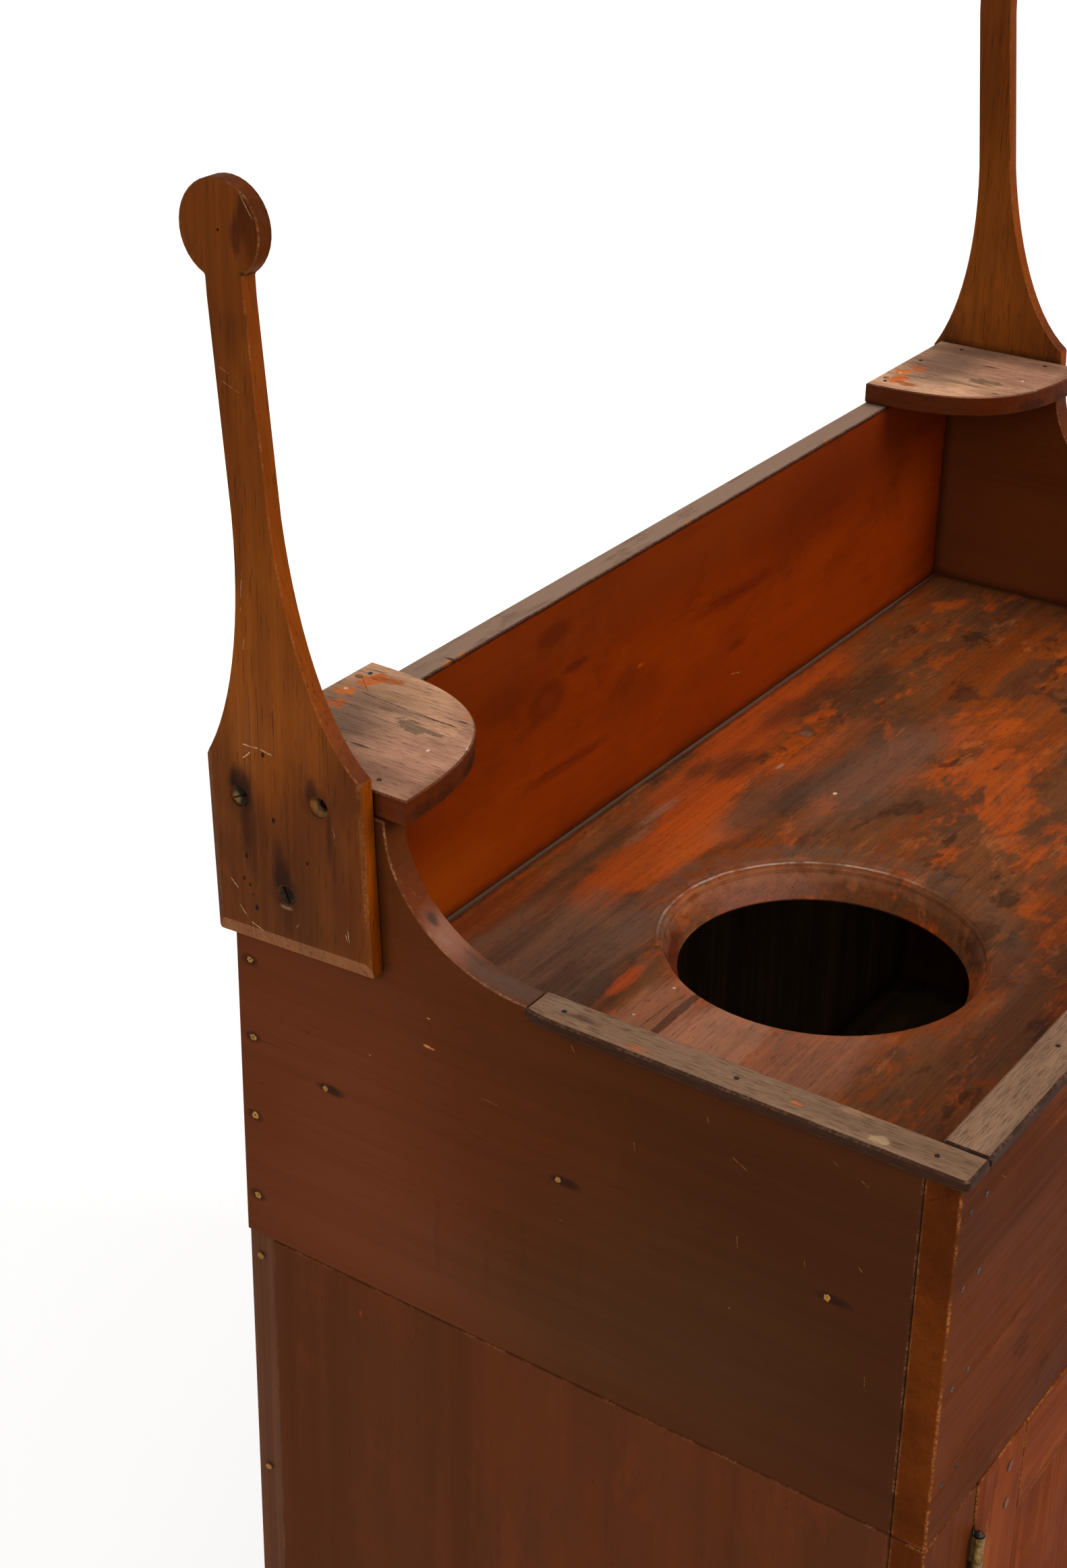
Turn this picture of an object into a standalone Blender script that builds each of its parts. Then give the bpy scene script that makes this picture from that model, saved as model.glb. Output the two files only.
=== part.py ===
"""Cupboard washstand: sunk bowl board, splashboard, corner shelves, towel arms and two doors."""
import math

import bmesh
import bpy
from mathutils import Matrix, Vector

# Case, with x to the right, y to the back and z up
CASE_WIDTH = 0.850
CASE_DEPTH = 0.435
BOWL_BOARD_TOP = 0.700
SPLASH_RISE = 0.1693
UPPER_DROP = 0.134
WELL_DEPTH = 0.092

# Fits and edges
FIT_GAP = 0.0003
EDGE = 0.0009
SOFT_EDGE = 0.0016
CUT_OVERRUN = 0.004
SHARP_ANGLE = math.radians(35)

# Boards of the upper case
END_THICKNESS = 0.0175
SPLASH_THICKNESS = 0.018
FACE_THICKNESS = 0.019
BOWL_BOARD_THICKNESS = 0.0225
SCOOP_LENGTH = 0.0895
SCOOP_STEPS = 18

# Round hole for the wash bowl
HOLE_RADIUS = 0.095
HOLE_FROM_END = 0.280
HOLE_FROM_BACK = 0.2185
HOLE_TOP_ROUND = 0.005
HOLE_BOTTOM_ROUND = 0.003
HOLE_SIDES = 72
HOLE_ROUND_STEPS = 3

# Cap strips on the rim of the well
CAP_START = 0.1935
CAP_THICKNESS = 0.0068
CAP_OUTER_LIP = 0.004
CAP_INNER_LIP = 0.0018
CAP_CORNER_LENGTH = 0.022
CAP_CORNER_STEPS = 6

# Corner shelves
SHELF_LENGTH = 0.124
SHELF_DEPTH = 0.117
SHELF_THICKNESS = 0.0147
SHELF_INSET = 0.002
SHELF_POWER = 2.75
SHELF_STEPS = 28

# Towel arms, measured from the block's lower back corner
ARM_THICKNESS = 0.0104
ARM_TILT = math.radians(2.9)
ARM_BEHIND = 0.0015
ARM_ABOVE_BOARD = 0.0769
ARM_BLOCK_WIDTH = 0.1045
ARM_BLOCK_BACK_HEIGHT = 0.103
ARM_BLOCK_FRONT_HEIGHT = 0.1105
ARM_BLOCK_DROP = 0.0034
ARM_BLOCK_BEHIND = 0.0014
ARM_EDGE = 0.0008
LOW_BEVEL_WIDTH = 0.0090
LOW_BEVEL_DEPTH = 0.0026
BACK_BEVEL_WIDTH = 0.0048
BACK_BEVEL_DEPTH = 0.0018
FRONT_BEVEL_WIDTH = 0.0026
FRONT_BEVEL_DEPTH = 0.0012
ARM_WAIST_HEIGHT = 0.243
ARM_WAIST_BACK = 0.0312
ARM_WAIST_WIDTH = 0.0254
ARM_NECK_BACK = 0.0266
ARM_NECK_WIDTH = 0.0245
ARM_NECK_HEIGHT = 0.356
ARM_DISC_BACK = 0.0378
ARM_DISC_HEIGHT = 0.3895
ARM_DISC_RADIUS = 0.0255
ARM_SHOULDER_STEPS = 14
ARM_DISC_STEPS = 30
ARM_ROD_HOLE = 0.0009
ARM_ROD_HOLE_SIDES = 8
# Pull points of the shoulder curves, as shares of the run from block corner to waist
BACK_SHOULDER_SHARES = ((0.64, 0.20), (1.03, 0.56))
FRONT_SHOULDER_SHARES = ((0.57, 0.16), (0.90, 0.58))

# Screws that hold the towel arms, placed on the block; the last hole is an empty one
ARM_SCREW_COUNT = 2
SCREW_HEAD_RADIUS = 0.0054
SCREW_HEAD_DEPTH = 0.0036
SCREW_RADIUS = 0.0021
SCREW_LENGTH = 0.024
SCREW_TIP = 0.004
SCREW_SIDES = 14
SCREW_SINK = 0.0009
HEAD_CLEAR = 0.0009
SLOT_WIDTH = 0.0012
SLOT_DEPTH = 0.0013
ARM_SCREW_SHARES = ((0.210, 0.757), (0.473, 0.285), (0.727, 0.823))
ARM_SLOT_ANGLES = (math.radians(62), math.radians(-24), math.radians(15))

# Lower case
END_PANEL_THICKNESS = 0.0175
BACK_THICKNESS = 0.019
BACK_INSET = 0.002
BACK_BOARD_COUNT = 3
BACK_BOTTOM = 0.058
FOOT_LENGTH = 0.072
FOOT_ARCH = 0.062
FOOT_ARCH_STEPS = 18
FACE_STILE_WIDTH = 0.060
BOTTOM_RAIL_LOW = 0.058
BOTTOM_RAIL_HIGH = 0.120
BOTTOM_BOARD_THICKNESS = 0.018
BOTTOM_BOARD_RISE = 0.008
INNER_SHELF_TOP = 0.325
INNER_SHELF_THICKNESS = 0.016
STOP_GAP = 0.0006
HOUSING_DEPTH = 0.006
BLOCK_WIDTH = 0.034
BLOCK_DROP = 0.028
BLOCK_LENGTH = 0.210

# Doors
DOOR_GAP = 0.0024
DOOR_TOP_GAP = 0.002
DOOR_STILE_WIDTH = 0.058
DOOR_TOP_RAIL_WIDTH = 0.062
DOOR_BOTTOM_RAIL_WIDTH = 0.070
TENON_LENGTH = 0.040
TENON_THICKNESS = 0.007
TENON_SHOULDER = 0.010
PANEL_THICKNESS = 0.008
PANEL_SETBACK = 0.0065
GROOVE_DEPTH = 0.008
PANEL_PLAY = 0.0008

# Butt hinges
HINGE_HEIGHT = 0.051
HINGE_LEAF = 0.0015
HINGE_LEAF_DEPTH = 0.0145
HINGE_BARREL_RADIUS = 0.0031
HINGE_PIN_RADIUS = 0.0015
HINGE_PIN_PLAY = 0.0003
HINGE_BALL_RADIUS = 0.0024
HINGE_SIDES = 16
HINGE_CLEAR = 0.0004
HINGE_FROM_DOOR_END = 0.058

# Turned knobs, as radius and distance from the door
KNOB_RADIUS = 0.0165
KNOB_LENGTH = 0.029
KNOB_PROFILE_SHARES = (
    (0.00, 1.00), (0.36, 0.985), (0.66, 0.93), (0.88, 0.84), (0.99, 0.72), (0.98, 0.61),
    (0.82, 0.50), (0.58, 0.40), (0.46, 0.28), (0.46, 0.17), (0.62, 0.09), (0.66, 0.00),
)
KNOB_SIDES = 28
SPINDLE_RADIUS = 0.0052
KNOB_STUB = 0.013
KNOB_HEIGHT = 0.405

# Latch bar on the right knob and button on the left door
LATCH_LONG = 0.046
LATCH_SHORT = 0.013
LATCH_WIDTH = 0.020
LATCH_THICKNESS = 0.009
LATCH_END_STEPS = 8
BUTTON_BELOW_TOP = 0.030
BUTTON_SCREW_HEAD_RADIUS = 0.0050
BUTTON_SCREW_HEAD_DEPTH = 0.0030
RUN_GAP = 0.0004

# Finish of each kind of surface: colour, roughness and metallic value
FINISHES = {
    "end_wood": ((0.110, 0.034, 0.013, 1.0), 0.42, 0.0),
    "splash_wood": ((0.205, 0.028, 0.004, 1.0), 0.40, 0.0),
    "bowl_wood": ((0.330, 0.105, 0.030, 1.0), 0.55, 0.0),
    "worn_wood": ((0.190, 0.130, 0.095, 1.0), 0.62, 0.0),
    "arm_wood": ((0.180, 0.052, 0.012, 1.0), 0.42, 0.0),
    "raw_wood": ((0.320, 0.200, 0.105, 1.0), 0.75, 0.0),
    "door_wood": ((0.135, 0.038, 0.012, 1.0), 0.42, 0.0),
    "knob_wood": ((0.090, 0.030, 0.012, 1.0), 0.35, 0.0),
    "iron": ((0.060, 0.055, 0.050, 1.0), 0.50, 0.9),
    "brass": ((0.330, 0.240, 0.100, 1.0), 0.40, 0.9),
}

# Places worked out from the sizes
HALF = CASE_WIDTH / 2
INNER = HALF - END_THICKNESS
SPLASH_TOP = BOWL_BOARD_TOP + SPLASH_RISE
UPPER_BOTTOM = BOWL_BOARD_TOP - UPPER_DROP
CAP_TOP = BOWL_BOARD_TOP + WELL_DEPTH
CAP_UNDER = CAP_TOP - CAP_THICKNESS
LOWER_TOP = UPPER_BOTTOM - FIT_GAP
LOWER_INNER = HALF - END_PANEL_THICKNESS
BLOCK_HIGH = BOWL_BOARD_TOP - BLOCK_DROP
BLOCK_LOW = BLOCK_HIGH - BLOCK_LENGTH


def curve_points(start, pull_a, pull_b, end, steps):
    """Points along a cubic curve, without its first one."""
    points = []
    for step in range(1, steps + 1):
        t = step / steps
        s = 1 - t
        weights = (s ** 3, 3 * s * s * t, 3 * s * t * t, t ** 3)
        corners = (start, pull_a, pull_b, end)
        points.append(tuple(sum(w * c[i] for w, c in zip(weights, corners)) for i in (0, 1)))
    return points


def between(start, end, shares):
    """A point at the given shares of the run from start to end."""
    return tuple(a + (b - a) * share for a, b, share in zip(start, end, shares))


def arm_outline():
    """Outline of a towel arm: u towards the front, v up, from the block's lower back corner."""
    back_corner = (0.0, ARM_BLOCK_BACK_HEIGHT)
    front_corner = (ARM_BLOCK_WIDTH, ARM_BLOCK_FRONT_HEIGHT)
    back_waist = (ARM_WAIST_BACK, ARM_WAIST_HEIGHT)
    front_waist = (ARM_WAIST_BACK + ARM_WAIST_WIDTH, ARM_WAIST_HEIGHT)
    points = [(-ARM_BLOCK_BEHIND, -ARM_BLOCK_DROP), (ARM_BLOCK_WIDTH, -ARM_BLOCK_DROP), front_corner]
    pulls = [between(front_corner, front_waist, share) for share in FRONT_SHOULDER_SHARES]
    points += curve_points(front_corner, pulls[0], pulls[1], front_waist, ARM_SHOULDER_STEPS)
    front_side = ARM_NECK_BACK + ARM_NECK_WIDTH - ARM_DISC_BACK
    back_side = ARM_DISC_BACK - ARM_NECK_BACK
    points.append((ARM_NECK_BACK + ARM_NECK_WIDTH, ARM_NECK_HEIGHT))
    first = -math.acos(front_side / ARM_DISC_RADIUS)
    last = math.pi + math.acos(back_side / ARM_DISC_RADIUS)
    for step in range(ARM_DISC_STEPS + 1):
        angle = first + (last - first) * step / ARM_DISC_STEPS
        u = ARM_DISC_BACK + ARM_DISC_RADIUS * math.cos(angle)
        v = ARM_DISC_HEIGHT + ARM_DISC_RADIUS * math.sin(angle)
        points.append((u, v))
    points.append((ARM_NECK_BACK, ARM_NECK_HEIGHT))
    points.append(back_waist)
    pulls = [between(back_corner, back_waist, share) for share in BACK_SHOULDER_SHARES]
    shoulder = curve_points(back_corner, pulls[0], pulls[1], back_waist, ARM_SHOULDER_STEPS)
    points += list(reversed(shoulder[:-1]))
    points.append(back_corner)
    return points


def arm_to_case(u, v):
    """Place behind the back face and height above the bowl board of a point on a towel arm."""
    behind = ARM_BEHIND - u * math.cos(ARM_TILT) + v * math.sin(ARM_TILT)
    height = ARM_ABOVE_BOARD + u * math.sin(ARM_TILT) + v * math.cos(ARM_TILT)
    return behind, height


# The origin lies on the floor, in the middle of the whole stand
BACK_REACH = max(arm_to_case(u, v)[0] for u, v in arm_outline())
FRONT_REACH = CASE_DEPTH + FIT_GAP + KNOB_LENGTH
BACK = (FRONT_REACH - BACK_REACH) / 2
FRONT = BACK - CASE_DEPTH
FACE_BACK = FRONT + FACE_THICKNESS


def clear_scene():
    """Remove the objects that a new file starts with."""
    for item in list(bpy.data.objects):
        bpy.data.objects.remove(item, do_unlink=True)


def finish_material(name):
    """The material of one finish, made once for each part that asks for it."""
    colour, roughness, metallic = FINISHES[name]
    material = bpy.data.materials.new(name)
    material.use_nodes = True
    shader = material.node_tree.nodes["Principled BSDF"]
    shader.inputs["Base Color"].default_value = colour
    shader.inputs["Roughness"].default_value = roughness
    shader.inputs["Metallic"].default_value = metallic
    material.diffuse_color = colour
    return material


def make_object(name, bm, finish):
    """Turn a bmesh into a named object with its own material."""
    bmesh.ops.recalc_face_normals(bm, faces=bm.faces)
    mesh = bpy.data.meshes.new(name)
    bm.to_mesh(mesh)
    bm.free()
    mesh.shade_smooth()
    mesh.set_sharp_from_angle(angle=SHARP_ANGLE)
    item = bpy.data.objects.new(name, mesh)
    bpy.context.scene.collection.objects.link(item)
    if finish:
        mesh.materials.append(finish_material(finish))
    return item


def soften(bm, edge):
    """Bevel every sharp edge by the given width."""
    bmesh.ops.recalc_face_normals(bm, faces=bm.faces)
    sharp = [e for e in bm.edges if e.calc_face_angle(0) > SHARP_ANGLE]
    bmesh.ops.bevel(bm, geom=sharp, offset=edge, offset_type="OFFSET", segments=1,
                     profile=0.5, affect="EDGES", clamp_overlap=True)


def add_box(bm, low, high):
    """Add a box between two corners."""
    size = [b - a for a, b in zip(low, high)]
    centre = [(a + b) / 2 for a, b in zip(low, high)]
    matrix = Matrix.Translation(centre) @ Matrix.Diagonal((*size, 1.0))
    bmesh.ops.create_cube(bm, size=1.0, matrix=matrix)


def add_plate(bm, outline, place, start, end):
    """Extrude a flat outline from start to end, with place giving each point's corner."""
    near = [bm.verts.new(place(u, v, start)) for u, v in outline]
    far = [bm.verts.new(place(u, v, end)) for u, v in outline]
    bm.faces.new(near)
    bm.faces.new(list(reversed(far)))
    for index in range(len(outline)):
        after = (index + 1) % len(outline)
        bm.faces.new((near[index], far[index], far[after], near[after]))


def add_turned(bm, profile, matrix, sides):
    """Turn a profile of radius and height about the local z axis, closed at both ends."""
    rings = []
    for radius, height in profile:
        if radius == 0:
            rings.append([bm.verts.new(matrix @ Vector((0, 0, height)))])
            continue
        ring = []
        for side in range(sides):
            angle = 2 * math.pi * side / sides
            local = Vector((radius * math.cos(angle), radius * math.sin(angle), height))
            ring.append(bm.verts.new(matrix @ local))
        rings.append(ring)
    for lower, upper in zip(rings, rings[1:]):
        for side in range(sides):
            after = (side + 1) % sides
            if len(lower) == 1:
                bm.faces.new((lower[0], upper[side], upper[after]))
            elif len(upper) == 1:
                bm.faces.new((lower[side], lower[after], upper[0]))
            else:
                bm.faces.new((lower[side], lower[after], upper[after], upper[side]))


def add_sections(bm, sections, matrix):
    """Join rectangles of (height, half width, half depth) into one closed body."""
    rings = []
    for height, half_x, half_y in sections:
        corners = ((-half_x, -half_y), (half_x, -half_y), (half_x, half_y), (-half_x, half_y))
        rings.append([bm.verts.new(matrix @ Vector((x, y, height))) for x, y in corners])
    bm.faces.new(rings[0])
    bm.faces.new(rings[-1])
    for lower, upper in zip(rings, rings[1:]):
        for side in range(4):
            after = (side + 1) % 4
            bm.faces.new((lower[side], lower[after], upper[after], upper[side]))


def facing(point, direction, turn=0.0):
    """Frame at a point whose z axis runs along direction."""
    spin = Vector((0, 0, 1)).rotation_difference(Vector(direction)).to_matrix().to_4x4()
    return Matrix.Translation(point) @ spin @ Matrix.Rotation(turn, 4, "Z")


def board(name, low, high, finish, edge=EDGE):
    """A sawn board with softened edges."""
    bm = bmesh.new()
    add_box(bm, low, high)
    soften(bm, edge)
    return make_object(name, bm, finish)


def plate(name, outline, place, start, end, finish, edge=EDGE):
    """A board sawn to an outline, with softened edges."""
    bm = bmesh.new()
    add_plate(bm, outline, place, start, end)
    soften(bm, edge)
    return make_object(name, bm, finish)


def cut(target, bm, name):
    """Cut the bodies in a bmesh out of an object."""
    cutter = make_object(name, bm, None)
    cutter.hide_render = True
    cutter.display_type = "WIRE"
    modifier = target.modifiers.new(name, "BOOLEAN")
    modifier.operation = "DIFFERENCE"
    modifier.solver = "EXACT"
    modifier.object = cutter


def join_body(target, bm, name):
    """Join the bodies in a bmesh to an object as one solid."""
    extra = make_object(name, bm, None)
    extra.hide_render = True
    extra.display_type = "WIRE"
    modifier = target.modifiers.new(name, "BOOLEAN")
    modifier.operation = "UNION"
    modifier.solver = "EXACT"
    modifier.object = extra


def add_screw(bm, head, inward, length=SCREW_LENGTH):
    """Add one countersunk screw."""
    profile = (
        (0, SCREW_SINK),
        (SCREW_HEAD_RADIUS, SCREW_SINK),
        (SCREW_RADIUS, SCREW_SINK + SCREW_HEAD_DEPTH),
        (SCREW_RADIUS, length - SCREW_TIP),
        (0, length),
    )
    add_turned(bm, profile, facing(head, inward), SCREW_SIDES)


def add_screw_hole(bm, head, inward, length=SCREW_LENGTH):
    """Add the cutter for one screw's countersunk hole."""
    profile = (
        (0, -CUT_OVERRUN),
        (SCREW_HEAD_RADIUS + HEAD_CLEAR, -CUT_OVERRUN),
        (SCREW_HEAD_RADIUS + HEAD_CLEAR, SCREW_SINK),
        (SCREW_RADIUS + FIT_GAP, SCREW_SINK + SCREW_HEAD_DEPTH + FIT_GAP),
        (SCREW_RADIUS + FIT_GAP, length + FIT_GAP),
        (0, length + FIT_GAP),
    )
    add_turned(bm, profile, facing(head, inward), SCREW_SIDES)


def end_outline():
    """Side outline of an upper end board, with the scoop in front of the corner shelf."""
    points = [(BACK, UPPER_BOTTOM), (BACK, SPLASH_TOP)]
    centre = BACK - CAP_START
    drop = SPLASH_TOP - CAP_TOP
    for step in range(SCOOP_STEPS + 1):
        angle = math.pi / 2 * step / SCOOP_STEPS
        points.append((centre + SCOOP_LENGTH * math.cos(angle), SPLASH_TOP - drop * math.sin(angle)))
    points.append((centre, CAP_UNDER - FIT_GAP))
    points.append((FACE_BACK + FIT_GAP, CAP_UNDER - FIT_GAP))
    points.append((FACE_BACK + FIT_GAP, UPPER_BOTTOM))
    return points


def side_place(u, v, x):
    """A point of a side outline at the given x."""
    return Vector((x, u, v))


def make_upper_boards(parts):
    """End boards, splashboard, bowl board and front board."""
    for side, word in ((-1, "left"), (1, "right")):
        name = "end_board_" + word
        parts[name] = plate(name, end_outline(), side_place, side * INNER, side * HALF, "end_wood")
    inner = INNER - FIT_GAP
    splash_front = BACK - SPLASH_THICKNESS
    low = (-inner, splash_front, UPPER_BOTTOM)
    high = (inner, BACK, SPLASH_TOP)
    parts["splashboard"] = board("splashboard", low, high, "splash_wood")
    low = (-HALF, FRONT, UPPER_BOTTOM)
    high = (HALF, FACE_BACK, CAP_UNDER - FIT_GAP)
    parts["front_board"] = board("front_board", low, high, "end_wood")
    low = (-inner, FACE_BACK + FIT_GAP, BOWL_BOARD_TOP - BOWL_BOARD_THICKNESS)
    high = (inner, splash_front - FIT_GAP, BOWL_BOARD_TOP)
    parts["bowl_board"] = board("bowl_board", low, high, "bowl_wood")
    cut(parts["bowl_board"], bowl_hole(), "bowl_hole")


def bowl_hole():
    """Cutter for the bowl's hole, with rounded upper and lower rims."""
    profile = [(0, -BOWL_BOARD_THICKNESS - CUT_OVERRUN)]
    low_flare = HOLE_RADIUS + HOLE_BOTTOM_ROUND
    profile.append((low_flare, -BOWL_BOARD_THICKNESS - CUT_OVERRUN))
    for step in range(HOLE_ROUND_STEPS + 1):
        angle = math.pi / 2 * step / HOLE_ROUND_STEPS
        radius = low_flare - HOLE_BOTTOM_ROUND * math.sin(angle)
        height = -BOWL_BOARD_THICKNESS + HOLE_BOTTOM_ROUND * (1 - math.cos(angle))
        profile.append((radius, height))
    for step in range(HOLE_ROUND_STEPS + 1):
        angle = math.pi / 2 * step / HOLE_ROUND_STEPS
        radius = HOLE_RADIUS + HOLE_TOP_ROUND * (1 - math.cos(angle))
        height = -HOLE_TOP_ROUND * (1 - math.sin(angle))
        profile.append((radius, height))
    profile.append((HOLE_RADIUS + HOLE_TOP_ROUND, CUT_OVERRUN))
    profile.append((0, CUT_OVERRUN))
    centre = (-HALF + HOLE_FROM_END, BACK - HOLE_FROM_BACK, BOWL_BOARD_TOP)
    bm = bmesh.new()
    add_turned(bm, profile, Matrix.Translation(centre), HOLE_SIDES)
    return bm


def cap_outline(side):
    """Plan of a side cap strip, with its outer back corner rounded."""
    start = BACK - CAP_START - FIT_GAP
    front = FRONT - CAP_OUTER_LIP
    outer = HALF + CAP_OUTER_LIP
    inner = INNER - CAP_INNER_LIP
    points = [(side * inner, start)]
    for step in range(CAP_CORNER_STEPS + 1):
        angle = math.pi / 2 * step / CAP_CORNER_STEPS
        x = HALF + CAP_OUTER_LIP * math.sin(angle)
        points.append((side * x, start - CAP_CORNER_LENGTH * (1 - math.cos(angle))))
    for step in range(CAP_CORNER_STEPS + 1):
        angle = math.pi / 2 * step / CAP_CORNER_STEPS
        x = outer - CAP_OUTER_LIP * (1 - math.cos(angle))
        points.append((side * x, front + CAP_OUTER_LIP * (1 - math.sin(angle))))
    points.append((side * inner, front))
    return points


def plan_place(u, v, z):
    """A point of a plan outline at the given height."""
    return Vector((u, v, z))


def make_caps(parts):
    """Cap strips on the two end boards and on the front board."""
    for side, word in ((-1, "left"), (1, "right")):
        name = "cap_" + word
        parts[name] = plate(name, cap_outline(side), plan_place, CAP_UNDER, CAP_TOP, "worn_wood", SOFT_EDGE)
    inner = INNER - CAP_INNER_LIP - FIT_GAP
    low = (-inner, FRONT - CAP_OUTER_LIP, CAP_UNDER)
    high = (inner, FACE_BACK + CAP_INNER_LIP, CAP_TOP)
    parts["cap_front"] = board("cap_front", low, high, "worn_wood", SOFT_EDGE)


def shelf_outline(side):
    """Plan of a corner shelf: two straight edges joined by a full rounded front."""
    outer = HALF - SHELF_INSET
    points = [(side * outer, BACK)]
    for step in range(SHELF_STEPS + 1):
        angle = math.pi / 2 * step / SHELF_STEPS
        along = SHELF_LENGTH * math.cos(angle) ** (2 / SHELF_POWER)
        out = SHELF_DEPTH * math.sin(angle) ** (2 / SHELF_POWER)
        points.append((side * (outer - along), BACK - out))
    return points


def make_corner_shelves(parts):
    """Corner shelves on the ends and the splashboard."""
    low = SPLASH_TOP + FIT_GAP
    for side, word in ((-1, "left"), (1, "right")):
        name = "corner_shelf_" + word
        parts[name] = plate(name, shelf_outline(side), plan_place, low, low + SHELF_THICKNESS, "worn_wood")


def arm_point(side, u, v, out):
    """A point on a towel arm, out being its distance from the end board."""
    behind, height = arm_to_case(u, v)
    return Vector((side * (HALF + FIT_GAP + out), BACK + behind, BOWL_BOARD_TOP + height))


def add_bevel_wedge(bm, place, start, end, inward):
    """Cutter for a planed bevel along the arm face's edge from start to end, with inward its width and depth."""
    along = Vector(end) - Vector(start)
    along.normalize()
    across = Vector((-along.y, along.x))
    width, depth = inward
    slope = depth / width
    sections = (
        (width, ARM_THICKNESS),
        (-CUT_OVERRUN, ARM_THICKNESS - depth - CUT_OVERRUN * slope),
        (-CUT_OVERRUN, ARM_THICKNESS + CUT_OVERRUN),
        (width, ARM_THICKNESS + CUT_OVERRUN),
    )
    rings = []
    for point, reach in ((Vector(start), -CUT_OVERRUN), (Vector(end), CUT_OVERRUN)):
        base = point + along * reach
        ring = []
        for inset, out in sections:
            spot = base + across * inset
            ring.append(bm.verts.new(place(spot.x, spot.y, out)))
        rings.append(ring)
    bm.faces.new(rings[0])
    bm.faces.new(rings[1])
    for index in range(len(sections)):
        after = (index + 1) % len(sections)
        bm.faces.new((rings[0][index], rings[0][after], rings[1][after], rings[1][index]))


def bevel_block(arm, place):
    """Plane the back, lower and front edges of the arm's block, as the outer face shows."""
    low_back = (-ARM_BLOCK_BEHIND, -ARM_BLOCK_DROP)
    low_front = (ARM_BLOCK_WIDTH, -ARM_BLOCK_DROP)
    edges = (
        ("back", (0.0, ARM_BLOCK_BACK_HEIGHT), low_back, (BACK_BEVEL_WIDTH, BACK_BEVEL_DEPTH)),
        ("low", low_back, low_front, (LOW_BEVEL_WIDTH, LOW_BEVEL_DEPTH)),
        ("front", low_front, (ARM_BLOCK_WIDTH, ARM_BLOCK_FRONT_HEIGHT), (FRONT_BEVEL_WIDTH, FRONT_BEVEL_DEPTH)),
    )
    for word, start, end, inward in edges:
        bm = bmesh.new()
        add_bevel_wedge(bm, place, start, end, inward)
        cut(arm, bm, word + "_bevel_of_" + arm.name)


def make_towel_arms(parts):
    """Shaped arms screwed outside the end boards, leaning slightly to the back."""
    for side, word in ((-1, "left"), (1, "right")):
        name = "towel_arm_" + word

        def place(u, v, out, side=side):
            return arm_point(side, u, v, out)

        arm = plate(name, arm_outline(), place, 0.0, ARM_THICKNESS, "arm_wood", ARM_EDGE)
        parts[name] = arm
        bevel_block(arm, place)
        inward = (-side, 0, 0)
        heads = []
        for across, up in ARM_SCREW_SHARES:
            heads.append(place(across * ARM_BLOCK_WIDTH, up * ARM_BLOCK_FRONT_HEIGHT, ARM_THICKNESS))
        used = heads[:ARM_SCREW_COUNT]
        for target, places in ((arm, heads), (parts["end_board_" + word], used)):
            holes = bmesh.new()
            for head in places:
                add_screw_hole(holes, head, inward)
            cut(target, holes, "arm_screw_holes_in_" + target.name)
        rod_hole = bmesh.new()
        outer = place(ARM_DISC_BACK, ARM_DISC_HEIGHT, ARM_THICKNESS + CUT_OVERRUN)
        depth = ARM_THICKNESS + 2 * CUT_OVERRUN
        pin_hole = ((0, 0), (ARM_ROD_HOLE, 0), (ARM_ROD_HOLE, depth), (0, depth))
        add_turned(rod_hole, pin_hole, facing(outer, inward), ARM_ROD_HOLE_SIDES)
        cut(arm, rod_hole, "rod_nail_hole_in_" + name)
        for index, (head, angle) in enumerate(zip(used, ARM_SLOT_ANGLES)):
            bm = bmesh.new()
            add_screw(bm, head, inward)
            screw = make_object("arm_screw_" + word + "_" + str(index + 1), bm, "iron")
            slot = bmesh.new()
            reach = SCREW_HEAD_RADIUS + FIT_GAP
            sections = (
                (-CUT_OVERRUN, reach, SLOT_WIDTH / 2),
                (SCREW_SINK + SLOT_DEPTH, reach, SLOT_WIDTH / 2),
            )
            add_sections(slot, sections, facing(head, inward, angle))
            cut(screw, slot, "slot_in_" + screw.name)


def panel_outline():
    """Side outline of a lower end panel, arched between its two feet."""
    back = BACK - BACK_THICKNESS - FIT_GAP
    front = FACE_BACK + FIT_GAP
    middle = (back + front) / 2
    half = (back - front) / 2 - FOOT_LENGTH
    points = [(back, 0.0), (back, LOWER_TOP), (front, LOWER_TOP), (front, 0.0)]
    for step in range(FOOT_ARCH_STEPS + 1):
        angle = math.pi * step / FOOT_ARCH_STEPS
        points.append((middle - half * math.cos(angle), FOOT_ARCH * math.sin(angle)))
    return points


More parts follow.
